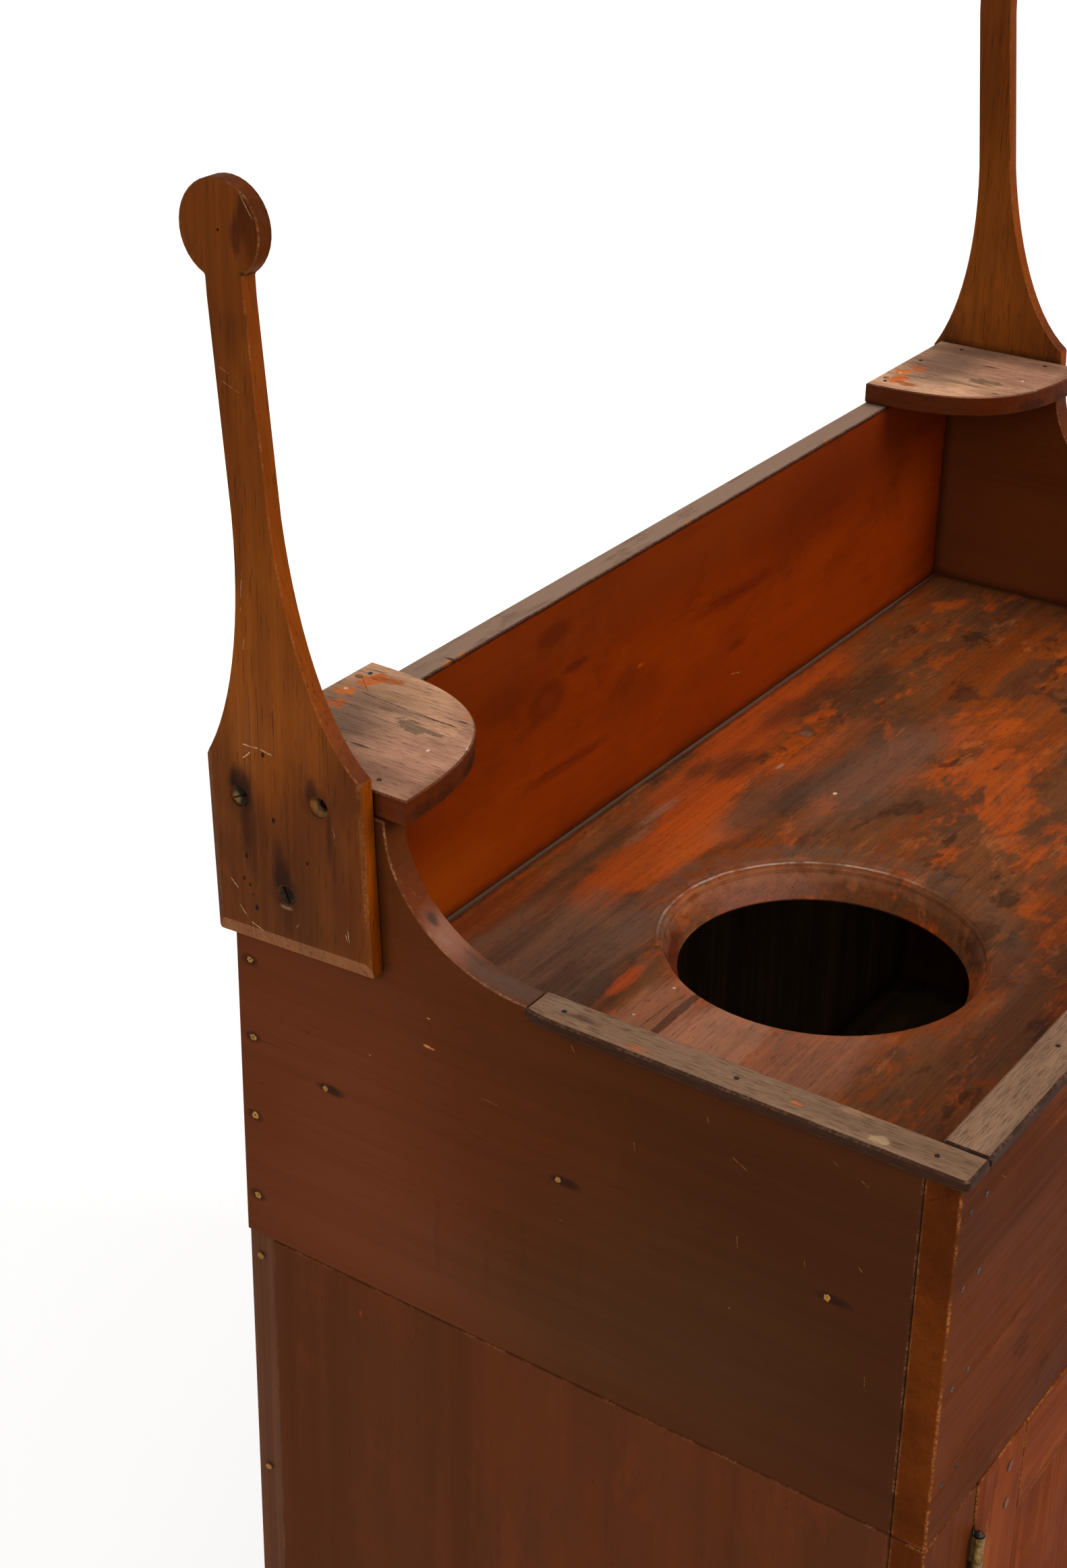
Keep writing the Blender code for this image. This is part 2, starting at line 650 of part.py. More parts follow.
def make_lower_case(parts):
    """End panels, back boards, stiles, bottom rail, housed bottom and shelf, and corner blocks."""
    for side, word in ((-1, "left"), (1, "right")):
        name = "end_panel_" + word
        parts[name] = plate(name, panel_outline(), side_place, side * LOWER_INNER, side * HALF, "end_wood")
        low = (min(side * HALF, side * (HALF - FACE_STILE_WIDTH)), FRONT, 0.0)
        high = (max(side * HALF, side * (HALF - FACE_STILE_WIDTH)), FACE_BACK, LOWER_TOP)
        parts["face_stile_" + word] = board("face_stile_" + word, low, high, "end_wood")
    back_width = 2 * (HALF - BACK_INSET)
    width = (back_width - (BACK_BOARD_COUNT - 1) * FIT_GAP) / BACK_BOARD_COUNT
    for index in range(BACK_BOARD_COUNT):
        left = -back_width / 2 + index * (width + FIT_GAP)
        name = "back_board_" + str(index + 1)
        low = (left, BACK - BACK_THICKNESS, BACK_BOTTOM)
        parts[name] = board(name, low, (left + width, BACK, LOWER_TOP), "raw_wood")
    opening = HALF - FACE_STILE_WIDTH - FIT_GAP
    low = (-opening, FRONT, BOTTOM_RAIL_LOW)
    parts["bottom_rail"] = board("bottom_rail", low, (opening, FACE_BACK, BOTTOM_RAIL_HIGH), "end_wood")
    inner = LOWER_INNER - FIT_GAP
    inside_back = BACK - BACK_THICKNESS - FIT_GAP
    stop = FACE_BACK + STOP_GAP
    bottom_top = BOTTOM_RAIL_HIGH + BOTTOM_BOARD_RISE
    housed = LOWER_INNER + HOUSING_DEPTH - FIT_GAP
    levels = (
        ("bottom_board", bottom_top - BOTTOM_BOARD_THICKNESS, bottom_top),
        ("inner_shelf", INNER_SHELF_TOP - INNER_SHELF_THICKNESS, INNER_SHELF_TOP),
    )
    for name, z_low, z_high in levels:
        low = (-housed, stop, z_low)
        parts[name] = board(name, low, (housed, inside_back, z_high), "raw_wood")
    for side, word in ((-1, "left"), (1, "right")):
        housings = bmesh.new()
        for name, z_low, z_high in levels:
            x_box(housings, side * (LOWER_INNER - CUT_OVERRUN), side * (LOWER_INNER + HOUSING_DEPTH),
                  FACE_BACK - CUT_OVERRUN, BACK, z_low - FIT_GAP, z_high + FIT_GAP)
        cut(parts["end_panel_" + word], housings, "housings_in_end_panel_" + word)
        reach = sorted((side * inner, side * (inner - BLOCK_WIDTH)))
        for kind, y_low in (("front", FACE_BACK + FIT_GAP), ("back", inside_back - BLOCK_WIDTH)):
            name = "corner_block_" + kind + "_" + word
            low = (reach[0], y_low, BLOCK_LOW)
            parts[name] = board(name, low, (reach[1], y_low + BLOCK_WIDTH, BLOCK_HIGH), "raw_wood")


def door_sizes(side):
    """Outer box of a door in x and z, and the x of its hinge axis."""
    opening = HALF - FACE_STILE_WIDTH
    outer = side * (opening - DOOR_GAP)
    meeting = side * DOOR_GAP / 2
    low_z = BOTTOM_RAIL_HIGH + DOOR_TOP_GAP
    high_z = UPPER_BOTTOM - DOOR_TOP_GAP
    axis_x = side * (opening - DOOR_GAP / 2)
    return outer, meeting, low_z, high_z, axis_x


HINGE_AXIS_Y = FRONT - HINGE_BARREL_RADIUS - HINGE_CLEAR


def x_box(bm, x_a, x_b, y_low, y_high, z_low, z_high):
    """Add a box whose two x values may come in either order."""
    add_box(bm, (min(x_a, x_b), y_low, z_low), (max(x_a, x_b), y_high, z_high))


def make_rail(name, x_a, x_b, z_low, z_high, tenon_low, tenon_high):
    """A door rail with a tenon at each end."""
    bm = bmesh.new()
    x_box(bm, x_a, x_b, FRONT, FACE_BACK, z_low, z_high)
    soften(bm, EDGE)
    rail = make_object(name, bm, "door_wood")
    tenons = bmesh.new()
    middle = (FRONT + FACE_BACK) / 2
    reach = TENON_LENGTH
    low_x = min(x_a, x_b) - reach
    high_x = max(x_a, x_b) + reach
    y_low = middle - TENON_THICKNESS / 2
    add_box(tenons, (low_x, y_low, tenon_low), (high_x, y_low + TENON_THICKNESS, tenon_high))
    join_body(rail, tenons, "tenons_of_" + name)
    return rail


def make_door(side, word, parts):
    """A framed door with a flat panel, mortise and tenon joints and hinge recesses."""
    outer, meeting, low_z, high_z, axis_x = door_sizes(side)
    hinge_inner = outer - side * DOOR_STILE_WIDTH
    lock_inner = meeting + side * DOOR_STILE_WIDTH
    bm = bmesh.new()
    x_box(bm, outer, hinge_inner, FRONT, FACE_BACK, low_z, high_z)
    soften(bm, EDGE)
    hinge_stile = make_object(word + "_door_hinge_stile", bm, "door_wood")
    bm = bmesh.new()
    x_box(bm, meeting, lock_inner, FRONT, FACE_BACK, low_z, high_z)
    soften(bm, EDGE)
    lock_stile = make_object(word + "_door_lock_stile", bm, "door_wood")
    rail_a = hinge_inner - side * FIT_GAP
    rail_b = lock_inner + side * FIT_GAP
    top_low = high_z - DOOR_TOP_RAIL_WIDTH
    bottom_high = low_z + DOOR_BOTTOM_RAIL_WIDTH
    tenons = (
        (top_low + TENON_SHOULDER, high_z - TENON_SHOULDER),
        (low_z + TENON_SHOULDER, bottom_high - TENON_SHOULDER),
    )
    top_rail = make_rail(word + "_door_top_rail", rail_a, rail_b, top_low, high_z, *tenons[0])
    bottom_rail = make_rail(word + "_door_bottom_rail", rail_a, rail_b, low_z, bottom_high, *tenons[1])
    middle = (FRONT + FACE_BACK) / 2
    mortise_y = (middle - TENON_THICKNESS / 2 - FIT_GAP, middle + TENON_THICKNESS / 2 + FIT_GAP)
    for stile, inner in ((hinge_stile, hinge_inner), (lock_stile, lock_inner)):
        toward = 1 if inner > (outer + meeting) / 2 else -1
        deep = inner + toward * (TENON_LENGTH + FIT_GAP)
        mouth = inner - toward * CUT_OVERRUN
        holes = bmesh.new()
        for z_low, z_high in tenons:
            x_box(holes, deep, mouth, *mortise_y, z_low - FIT_GAP, z_high + FIT_GAP)
        cut(stile, holes, "mortises_in_" + stile.name)
    panel_low = FRONT + PANEL_SETBACK
    depth = GROOVE_DEPTH - PANEL_PLAY
    panel_a = hinge_inner + (outer - hinge_inner) / DOOR_STILE_WIDTH * depth
    panel_b = lock_inner + (meeting - lock_inner) / DOOR_STILE_WIDTH * depth
    bm = bmesh.new()
    panel_z = (bottom_high - depth, top_low + depth)
    x_box(bm, panel_a, panel_b, panel_low, panel_low + PANEL_THICKNESS, *panel_z)
    soften(bm, EDGE)
    make_object(word + "_door_panel", bm, "door_wood")
    for piece in (hinge_stile, lock_stile, top_rail, bottom_rail):
        groove = bmesh.new()
        low_x = min(panel_a, panel_b) - PANEL_PLAY
        high_x = max(panel_a, panel_b) + PANEL_PLAY
        low = (low_x, panel_low - FIT_GAP, bottom_high - GROOVE_DEPTH)
        high = (high_x, panel_low + PANEL_THICKNESS + FIT_GAP, top_low + GROOVE_DEPTH)
        add_box(groove, low, high)
        cut(piece, groove, "groove_in_" + piece.name)
    parts[word + "_hinge_stile"] = hinge_stile
    parts[word + "_lock_stile"] = lock_stile
    parts[word + "_top_rail"] = top_rail


def hinge_spans(z_centre):
    """Knuckles of one hinge from the bottom up: the outer two on the frame, the middle on the door."""
    low = z_centre - HINGE_HEIGHT / 2
    step = HINGE_HEIGHT / 3
    frame_spans = [(low, low + step - FIT_GAP), (low + 2 * step + FIT_GAP, low + 3 * step)]
    door_spans = [(low + step, low + 2 * step)]
    return frame_spans, door_spans


def hinge_heights():
    """Heights of the two hinges of a door."""
    low_z = BOTTOM_RAIL_HIGH + DOOR_TOP_GAP
    high_z = UPPER_BOTTOM - DOOR_TOP_GAP
    return (low_z + HINGE_FROM_DOOR_END, high_z - HINGE_FROM_DOOR_END)


def make_leaf(name, edge, out, axis_x, z_centre, spans):
    """One hinge leaf: a flat plate with tongues out to its bored knuckles."""
    plate_body = bmesh.new()
    half = HINGE_HEIGHT / 2
    y_low = FRONT + HINGE_CLEAR
    under = edge + out * HINGE_LEAF
    x_box(plate_body, edge, under, y_low, y_low + HINGE_LEAF_DEPTH, z_centre - half, z_centre + half)
    leaf = make_object(name, plate_body, "brass")
    tongues = bmesh.new()
    barrels = bmesh.new()
    bores = bmesh.new()
    bore = HINGE_PIN_RADIUS + HINGE_PIN_PLAY
    for z_low, z_high in spans:
        height = z_high - z_low
        x_box(tongues, edge, under, HINGE_AXIS_Y, y_low + HINGE_LEAF, z_low, z_high)
        solid = ((0, 0), (HINGE_BARREL_RADIUS, 0), (HINGE_BARREL_RADIUS, height), (0, height))
        add_turned(barrels, solid, facing((axis_x, HINGE_AXIS_Y, z_low), (0, 0, 1)), HINGE_SIDES)
        reach = height + 2 * CUT_OVERRUN
        start = facing((axis_x, HINGE_AXIS_Y, z_low - CUT_OVERRUN), (0, 0, 1))
        if len(spans) == 1 or z_low < z_centre:
            whole = HINGE_HEIGHT + 2 * CUT_OVERRUN if len(spans) > 1 else reach
            add_turned(bores, ((0, 0), (bore, 0), (bore, whole), (0, whole)), start, HINGE_SIDES)
    join_body(leaf, tongues, "tongues_of_" + name)
    join_body(leaf, barrels, "barrels_of_" + name)
    cut(leaf, bores, "bore_of_" + name)


def make_hinge_pin(name, axis_x, z_centre):
    """A hinge pin with a small ball at each end."""
    half = HINGE_HEIGHT / 2 + FIT_GAP
    ball = HINGE_BALL_RADIUS
    pin = HINGE_PIN_RADIUS
    profile = (
        (0, -half - ball), (ball, -half - ball / 2), (ball, -half), (pin, -half),
        (pin, half), (ball, half), (ball, half + ball / 2), (0, half + ball),
    )
    bm = bmesh.new()
    add_turned(bm, profile, facing((axis_x, HINGE_AXIS_Y, z_centre), (0, 0, 1)), HINGE_SIDES)
    make_object(name, bm, "iron")


def make_hinges(parts):
    """Butt hinges: a leaf let into each frame stile and door edge, and a loose pin."""
    for side, word in ((-1, "left"), (1, "right")):
        axis_x = door_sizes(side)[4]
        stile_edge = side * (HALF - FACE_STILE_WIDTH)
        door_edge = stile_edge - side * DOOR_GAP
        sides = (
            ("frame", stile_edge, side, parts["face_stile_" + word]),
            ("door", door_edge, -side, parts[word + "_hinge_stile"]),
        )
        for z_centre, level in zip(hinge_heights(), ("lower", "upper")):
            spans = hinge_spans(z_centre)
            for (kind, edge, out, target), own_spans in zip(sides, spans):
                name = word + "_" + level + "_hinge_" + kind + "_leaf"
                make_leaf(name, edge, out, axis_x, z_centre, own_spans)
                recess = bmesh.new()
                half = HINGE_HEIGHT / 2 + FIT_GAP
                y_high = FRONT + HINGE_CLEAR + HINGE_LEAF_DEPTH + FIT_GAP
                x_deep = edge + out * (HINGE_LEAF + FIT_GAP)
                x_box(recess, edge - out * CUT_OVERRUN, x_deep, FRONT - CUT_OVERRUN, y_high,
                      z_centre - half, z_centre + half)
                cut(target, recess, "recess_for_" + name)
            make_hinge_pin(word + "_" + level + "_hinge_pin", axis_x, z_centre)


def add_knob(bm, place, spindle):
    """A turned knob with a spindle that runs back into the door."""
    profile = []
    for radius, height in KNOB_PROFILE_SHARES:
        profile.append((radius * KNOB_RADIUS, height * KNOB_LENGTH))
    profile.append((SPINDLE_RADIUS, 0.0))
    profile.append((SPINDLE_RADIUS, -spindle))
    profile.append((0, -spindle))
    add_turned(bm, profile, place, KNOB_SIDES)


def bar_outline(long_end, short_end, width):
    """Outline of a turn bar hanging from its pivot, with a rounded long end."""
    half = width / 2
    points = [(half, short_end), (-half, short_end)]
    for step in range(LATCH_END_STEPS + 1):
        angle = math.pi + math.pi * step / LATCH_END_STEPS
        points.append((half * math.cos(angle), -long_end + half + half * math.sin(angle)))
    return points


def make_turn_bar(name, x, z, y_low, finish):
    """A wooden bar that turns about the line along y through x and z."""

    def place(u, v, y):
        return Vector((x + u, y, z + v))

    outline = bar_outline(LATCH_LONG, LATCH_SHORT, LATCH_WIDTH)
    return plate(name, outline, place, y_low, y_low + LATCH_THICKNESS, finish)


def through_cutter(x, z, y_low, y_high, radius):
    """Cutter for a round hole along y."""
    bm = bmesh.new()
    reach = y_high - y_low
    profile = ((0, 0), (radius, 0), (radius, reach), (0, reach))
    add_turned(bm, profile, facing((x, y_low, z), (0, 1, 0)), KNOB_SIDES)
    return bm


def make_knobs(parts):
    """A fixed knob on the left door, and one on the right that turns a latch bar."""
    places = {}
    for side, word in ((-1, "left"), (1, "right")):
        places[word] = side * (DOOR_GAP / 2 + DOOR_STILE_WIDTH / 2)
    outward = (0, -1, 0)
    left = facing((places["left"], FRONT - FIT_GAP, KNOB_HEIGHT), outward)
    bm = bmesh.new()
    add_knob(bm, left, KNOB_STUB)
    make_object("left_knob", bm, "knob_wood")
    stub_end = FRONT + KNOB_STUB
    radius = SPINDLE_RADIUS + FIT_GAP
    hole = through_cutter(places["left"], KNOB_HEIGHT, FRONT - CUT_OVERRUN, stub_end + FIT_GAP, radius)
    cut(parts["left_lock_stile"], hole, "left_knob_hole")
    bar_start = FACE_BACK + RUN_GAP
    bar_end = bar_start + LATCH_THICKNESS
    right = facing((places["right"], FRONT - RUN_GAP, KNOB_HEIGHT), outward)
    bm = bmesh.new()
    add_knob(bm, right, bar_end - FRONT + RUN_GAP)
    make_object("right_knob", bm, "knob_wood")
    through = through_cutter(places["right"], KNOB_HEIGHT, FRONT - CUT_OVERRUN, bar_end, SPINDLE_RADIUS + RUN_GAP)
    cut(parts["right_lock_stile"], through, "right_knob_hole")
    bar = make_turn_bar("right_latch_bar", places["right"], KNOB_HEIGHT, bar_start, "knob_wood")
    hole = through_cutter(places["right"], KNOB_HEIGHT, bar_start - CUT_OVERRUN, bar_end + CUT_OVERRUN, radius)
    cut(bar, hole, "spindle_hole_in_right_latch_bar")
    button_z = UPPER_BOTTOM - DOOR_TOP_GAP - BUTTON_BELOW_TOP
    button = make_turn_bar("left_button", places["left"], button_z, bar_start, "knob_wood")
    hole = through_cutter(places["left"], button_z, bar_start - CUT_OVERRUN, bar_end + CUT_OVERRUN,
                          SCREW_RADIUS + RUN_GAP)
    cut(button, hole, "screw_hole_in_left_button")
    head = bar_end + RUN_GAP
    tip = head - FACE_THICKNESS
    screw = facing((places["left"], head, button_z), outward)
    profile = (
        (0, -BUTTON_SCREW_HEAD_DEPTH), (BUTTON_SCREW_HEAD_RADIUS / 2, -BUTTON_SCREW_HEAD_DEPTH),
        (BUTTON_SCREW_HEAD_RADIUS, -BUTTON_SCREW_HEAD_DEPTH / 3), (BUTTON_SCREW_HEAD_RADIUS, 0),
        (SCREW_RADIUS, 0), (SCREW_RADIUS, head - tip - SCREW_TIP), (0, head - tip),
    )
    bm = bmesh.new()
    add_turned(bm, profile, screw, SCREW_SIDES)
    make_object("button_screw", bm, "iron")
    for target in (parts["left_lock_stile"], parts["left_top_rail"]):
        pilot = through_cutter(places["left"], button_z, tip - FIT_GAP, FACE_BACK + CUT_OVERRUN,
                               SCREW_RADIUS + FIT_GAP)
        cut(target, pilot, "button_screw_pilot_in_" + target.name)


def main():
    """Build the whole washstand."""
    clear_scene()
    parts = {}
    make_upper_boards(parts)
    make_caps(parts)
    make_corner_shelves(parts)
    make_towel_arms(parts)
    make_lower_case(parts)
    for side, word in ((-1, "left"), (1, "right")):
        make_door(side, word, parts)
    make_hinges(parts)
    make_knobs(parts)
    print("hinge axes", [round(door_sizes(side)[4], 6) for side in (-1, 1)], round(HINGE_AXIS_Y, 6))
    print("case back and front", round(BACK, 6), round(FRONT, 6))


main()
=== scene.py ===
"""Finish of the washstand: stained and worn wood, nails, putty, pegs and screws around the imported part."""
import math
import random
import re
from functools import partial

import bmesh
import bpy
from mathutils import Matrix, Vector


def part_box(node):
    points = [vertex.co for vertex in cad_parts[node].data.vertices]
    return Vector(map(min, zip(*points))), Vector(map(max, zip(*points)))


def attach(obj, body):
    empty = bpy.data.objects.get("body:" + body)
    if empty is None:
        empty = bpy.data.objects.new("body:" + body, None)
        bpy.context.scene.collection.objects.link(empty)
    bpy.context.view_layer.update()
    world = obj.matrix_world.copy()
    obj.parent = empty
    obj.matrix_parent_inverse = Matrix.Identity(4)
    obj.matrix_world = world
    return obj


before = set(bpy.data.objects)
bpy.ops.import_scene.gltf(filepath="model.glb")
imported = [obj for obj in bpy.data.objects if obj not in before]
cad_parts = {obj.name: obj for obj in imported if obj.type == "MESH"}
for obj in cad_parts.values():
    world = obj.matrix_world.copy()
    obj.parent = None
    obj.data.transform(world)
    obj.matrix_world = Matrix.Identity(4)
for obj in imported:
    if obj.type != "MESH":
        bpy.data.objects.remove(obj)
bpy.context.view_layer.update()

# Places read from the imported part, in metres
END_LOW, END_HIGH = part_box("end_board_left")
OUTER_X = END_HIGH[0] if END_HIGH[0] > 0 else END_LOW[0]
BACK_Y = END_HIGH[1]
SPLASH_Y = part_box("splashboard")[0][1]
SPLASH_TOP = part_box("splashboard")[1][2]
BOWL_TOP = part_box("bowl_board")[1][2]
SHELF_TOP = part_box("corner_shelf_left")[1][2]
CAP_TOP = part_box("cap_left")[1][2]
ARM_FACE_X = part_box("towel_arm_left")[0][0]
FRONT_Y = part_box("front_board")[0][1]
DOOR_BACK_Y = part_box("left_door_lock_stile")[1][1]
ARM_TILT = math.radians(2.9)
ARM_CORNER = (0.0015, 0.0769)
HOLE_CENTRE = (-0.145, 0.0092)
HOLE_RADIUS = 0.095
SIDES = ((-1, "left"), (1, "right"))
UPWARD, FORWARD, BACKWARD = (0, 0, 1), (0, -1, 0), (0, 1, 0)

# The arm's empty third hole, and the nails and putty of an end board, in millimetres
EMPTY_HOLE = (76, 90.9)
END_NAILS = ((217.8, 753.1), (217.8, 702.5), (218.5, 649.4), (218.5, 594))
END_PUTTY = ((166.2, 688.9), (12.5, 694.5), (-144, 693))


# The places below take millimetres. With a side they are given as on the left and mirrored to the right.

def arm_place(u, v, deep=0, back=0, up=0, side=-1):
    """Point on an arm's outer face, u to the front and v up from its block's corner, or deeper in the arm."""
    behind = ARM_CORNER[0] + (v * math.sin(ARM_TILT) - u * math.cos(ARM_TILT)) / 1000
    height = ARM_CORNER[1] + (u * math.sin(ARM_TILT) + v * math.cos(ARM_TILT)) / 1000
    return (-side * (ARM_FACE_X + deep / 1000), BACK_Y + behind + back / 1000, BOWL_TOP + height + up / 1000)


def end_place(y, z, side=-1):
    """Point on an end board's outer face."""
    return (-side * OUTER_X, y / 1000, z / 1000)


def scoop_place(x, y, z, side=-1):
    """Point on the hollow top edge of an end board."""
    return (-side * x / 1000, y / 1000, z / 1000)


def splash_place(x, z):
    """Point on the splashboard's face."""
    return (x / 1000, SPLASH_Y, z / 1000)


def splash_edge(x, drop=0):
    """Point on the splashboard's upper front arris, or below it."""
    return (x / 1000, SPLASH_Y, SPLASH_TOP - drop / 1000)


def board_place(x, y, deep=0):
    """Point on top of the bowl board, or below its top."""
    return (x / 1000, y / 1000, BOWL_TOP - deep / 1000)


def shelf_place(x, y, deep=0, side=-1):
    """Point on top of a corner shelf, or below its top."""
    return (-side * x / 1000, y / 1000, SHELF_TOP - deep / 1000)


def cap_place(x, y, side=-1):
    """Point on top of a side cap strip."""
    return (-side * x / 1000, y / 1000, CAP_TOP)


def front_place(x, z, behind=0):
    """Point on the case's front, or behind it."""
    return (x / 1000, FRONT_Y + behind / 1000, z / 1000)


def metres(*lengths):
    """Metres from millimetres."""
    return tuple(length / 1000 for length in lengths)


def tone(red, green, blue):
    """A stain colour from the usual 0 to 255 numbers."""
    shades = []
    for value in (red, green, blue):
        share = value / 255
        shades.append(share / 12.92 if share <= 0.04045 else ((share + 0.055) / 1.055) ** 2.4)
    return (*shades, 1.0)


# Node trees

class Graph:
    """Short calls for the nodes of one tree."""

    def __init__(self, tree):
        self.tree = tree

    def feed(self, socket, value):
        if isinstance(value, bpy.types.NodeSocket):
            self.tree.links.new(value, socket)
        else:
            socket.default_value = value

    def add(self, kind, values=None, **settings):
        node = self.tree.nodes.new("ShaderNode" + kind)
        for key, value in settings.items():
            setattr(node, key, value)
        for key, value in (values or {}).items():
            self.feed(node.inputs[key], value)
        return node

    def place(self):
        return self.add("TexCoord").outputs["Object"]

    def math(self, operation, *values, clamp=False):
        return self.add("Math", dict(enumerate(values)), operation=operation, use_clamp=clamp).outputs[0]

    def vector(self, operation, *values):
        return self.add("VectorMath", dict(enumerate(values)), operation=operation).outputs[0]

    def measure(self, operation, *values):
        return self.add("VectorMath", dict(enumerate(values)), operation=operation).outputs["Value"]

    def scaled(self, vector, share):
        return self.add("VectorMath", {0: vector, "Scale": share}, operation="SCALE").outputs[0]

    def less(self, value):
        return self.math("SUBTRACT", 1.0, value)

    def noise(self, vector, scale, detail=2.0, roughness=0.5, distortion=0.0):
        values = {"Vector": vector, "Scale": scale, "Detail": detail, "Roughness": roughness,
                  "Distortion": distortion}
        return self.add("TexNoise", values).outputs["Fac"]

    def ramp(self, value, low, high, to_low=0.0, to_high=1.0):
        values = {0: value, 1: low, 2: high, 3: to_low, 4: to_high}
        return self.add("MapRange", values, interpolation_type="SMOOTHSTEP").outputs[0]

    def mix(self, share, first, second, blend="MIX"):
        return self.add("Mix", {0: share, 6: first, 7: second}, data_type="RGBA", blend_type=blend).outputs[2]


GROUPS = {}
WHOLE = (1.0, 1.0, 1.0)
NOWHERE = (0.0, 0.0, 0.0)


def new_group(name, inputs, *outputs):
    """A shader node group: inputs are numbers or vectors, as their values are, outputs are numbers."""
    group = GROUPS[name] = bpy.data.node_groups.new(name, "ShaderNodeTree")
    for word, value in inputs.items():
        kind = "NodeSocketVector" if isinstance(value, tuple) else "NodeSocketFloat"
        group.interface.new_socket(word, in_out="INPUT", socket_type=kind).default_value = value
    for word in outputs:
        group.interface.new_socket(word, in_out="OUTPUT", socket_type="NodeSocketFloat")
    return Graph(group), group.nodes.new("NodeGroupInput").outputs, group.nodes.new("NodeGroupOutput").inputs


def make_timber_grain():
    """Figure of the wood: growth rings, streaks and pores along the grain, and clouds in the varnish."""
    inputs = {"Stretch": WHOLE, "Lines": WHOLE, "Offset": NOWHERE, "Pore Stretch": WHOLE, "Pore Scale": 900.0,
              "Rings": 9.0, "Figure": 4.0, "Pore Amount": 0.5}
    graph, given, out = new_group("timber_grain", inputs, "Rings", "Bands", "Streaks", "Pores", "Clouds")
    moved = graph.vector("ADD", graph.place(), given["Offset"])
    along = graph.vector("MULTIPLY", moved, given["Stretch"])
    height = graph.math("MULTIPLY_ADD", graph.noise(along, 60.0), 0.012,
                        graph.noise(along, given["Figure"], 1.0, 0.4))
    saw = graph.math("FRACT", graph.math("MULTIPLY", height, given["Rings"]))
    falling = graph.ramp(saw, 0.84, 1.0, 1.0, 0.0)
    graph.feed(out["Rings"], graph.math("MULTIPLY", graph.ramp(saw, 0.0, 0.82), falling))
    graph.feed(out["Bands"], graph.ramp(graph.noise(along, 26.0, 3.0, 0.55), 0.3, 0.7))
    longer = graph.vector("MULTIPLY", along, given["Lines"])
    broad = graph.math("MULTIPLY", graph.noise(longer, 130.0), 0.6)
    fine = graph.math("MULTIPLY", graph.noise(longer, 520.0), 0.4)
    graph.feed(out["Streaks"], graph.ramp(graph.math("ADD", broad, fine), 0.36, 0.66))
    pores = graph.noise(graph.vector("MULTIPLY", moved, given["Pore Stretch"]), given["Pore Scale"])
    least = graph.math("SUBTRACT", 0.74, graph.math("MULTIPLY", given["Pore Amount"], 0.16))
    graph.feed(out["Pores"], graph.ramp(pores, least, graph.math("ADD", least, 0.06)))
    graph.feed(out["Clouds"], graph.ramp(graph.noise(moved, 9.0, 6.0, 0.62), 0.3, 0.7))


def make_edge_wear():
    """Mask of the worn arrises, broken up by noise. Axes says across which directions an arris counts."""
    graph, given, out = new_group("edge_wear", {"Radius": 0.0012, "Axes": WHOLE, "Patchy": 0.9}, "Mask")
    rounded = graph.add("Bevel", {"Radius": given["Radius"]}, samples=6).outputs[0]
    own = graph.add("VectorTransform", {0: rounded}, vector_type="NORMAL", convert_from="WORLD",
                    convert_to="OBJECT").outputs[0]
    squares = graph.vector("MULTIPLY", own, own)
    bend = graph.vector("MULTIPLY", squares, graph.vector("SUBTRACT", WHOLE, squares))
    worn = graph.ramp(graph.measure("DOT_PRODUCT", bend, given["Axes"]), 0.05, 0.19)
    place = graph.place()
    broad = graph.ramp(graph.noise(place, 70.0, 3.0, 0.65), 0.42, 0.62, 0.05, 1.0)
    fine = graph.ramp(graph.noise(place, 620.0, 2.0, 0.6), 0.44, 0.56, 0.1, 1.0)
    gone = graph.less(graph.math("MULTIPLY", broad, fine))
    level = graph.less(graph.math("MULTIPLY", given["Patchy"], gone))
    graph.feed(out["Mask"], graph.math("MULTIPLY", worn, level, clamp=True))


def make_stain_spot():
    """Mask of one spot or patch with a ragged rim, stretched as the grain is."""
    inputs = {"Centre": NOWHERE, "Size": (0.01, 0.01, 0.01), "Stretch": WHOLE, "Ragged": 0.8,
              "Fineness": 60.0, "Soft": 0.4}
    graph, given, out = new_group("stain_spot", inputs, "Mask")
    place = graph.place()
    away = graph.vector("SUBTRACT", place, given["Centre"])
    distance = graph.measure("LENGTH", graph.vector("DIVIDE", away, given["Size"]))
    along = graph.vector("MULTIPLY", place, given["Stretch"])
    rim = graph.math("SUBTRACT", graph.noise(along, given["Fineness"], 6.0, 0.68), 0.5)
    reach = graph.math("MULTIPLY_ADD", rim, given["Ragged"], distance)
    outer = graph.math("ADD", 1.0, given["Soft"])
    graph.feed(out["Mask"], graph.less(graph.ramp(reach, graph.less(given["Soft"]), outer)))


def make_patchwork():
    """Mask of irregular worn patches all over a board."""
    inputs = {"Stretch": WHOLE, "Offset": NOWHERE, "Scale": 12.0, "Least": 0.5, "Most": 0.6}
    graph, given, out = new_group("patchwork", inputs, "Mask")
    moved = graph.vector("ADD", graph.place(), given["Offset"])
    along = graph.vector("MULTIPLY", moved, given["Stretch"])
    uneven = graph.noise(along, given["Scale"], 7.0, 0.66, 0.3)
    graph.feed(out["Mask"], graph.ramp(uneven, given["Least"], given["Most"]))


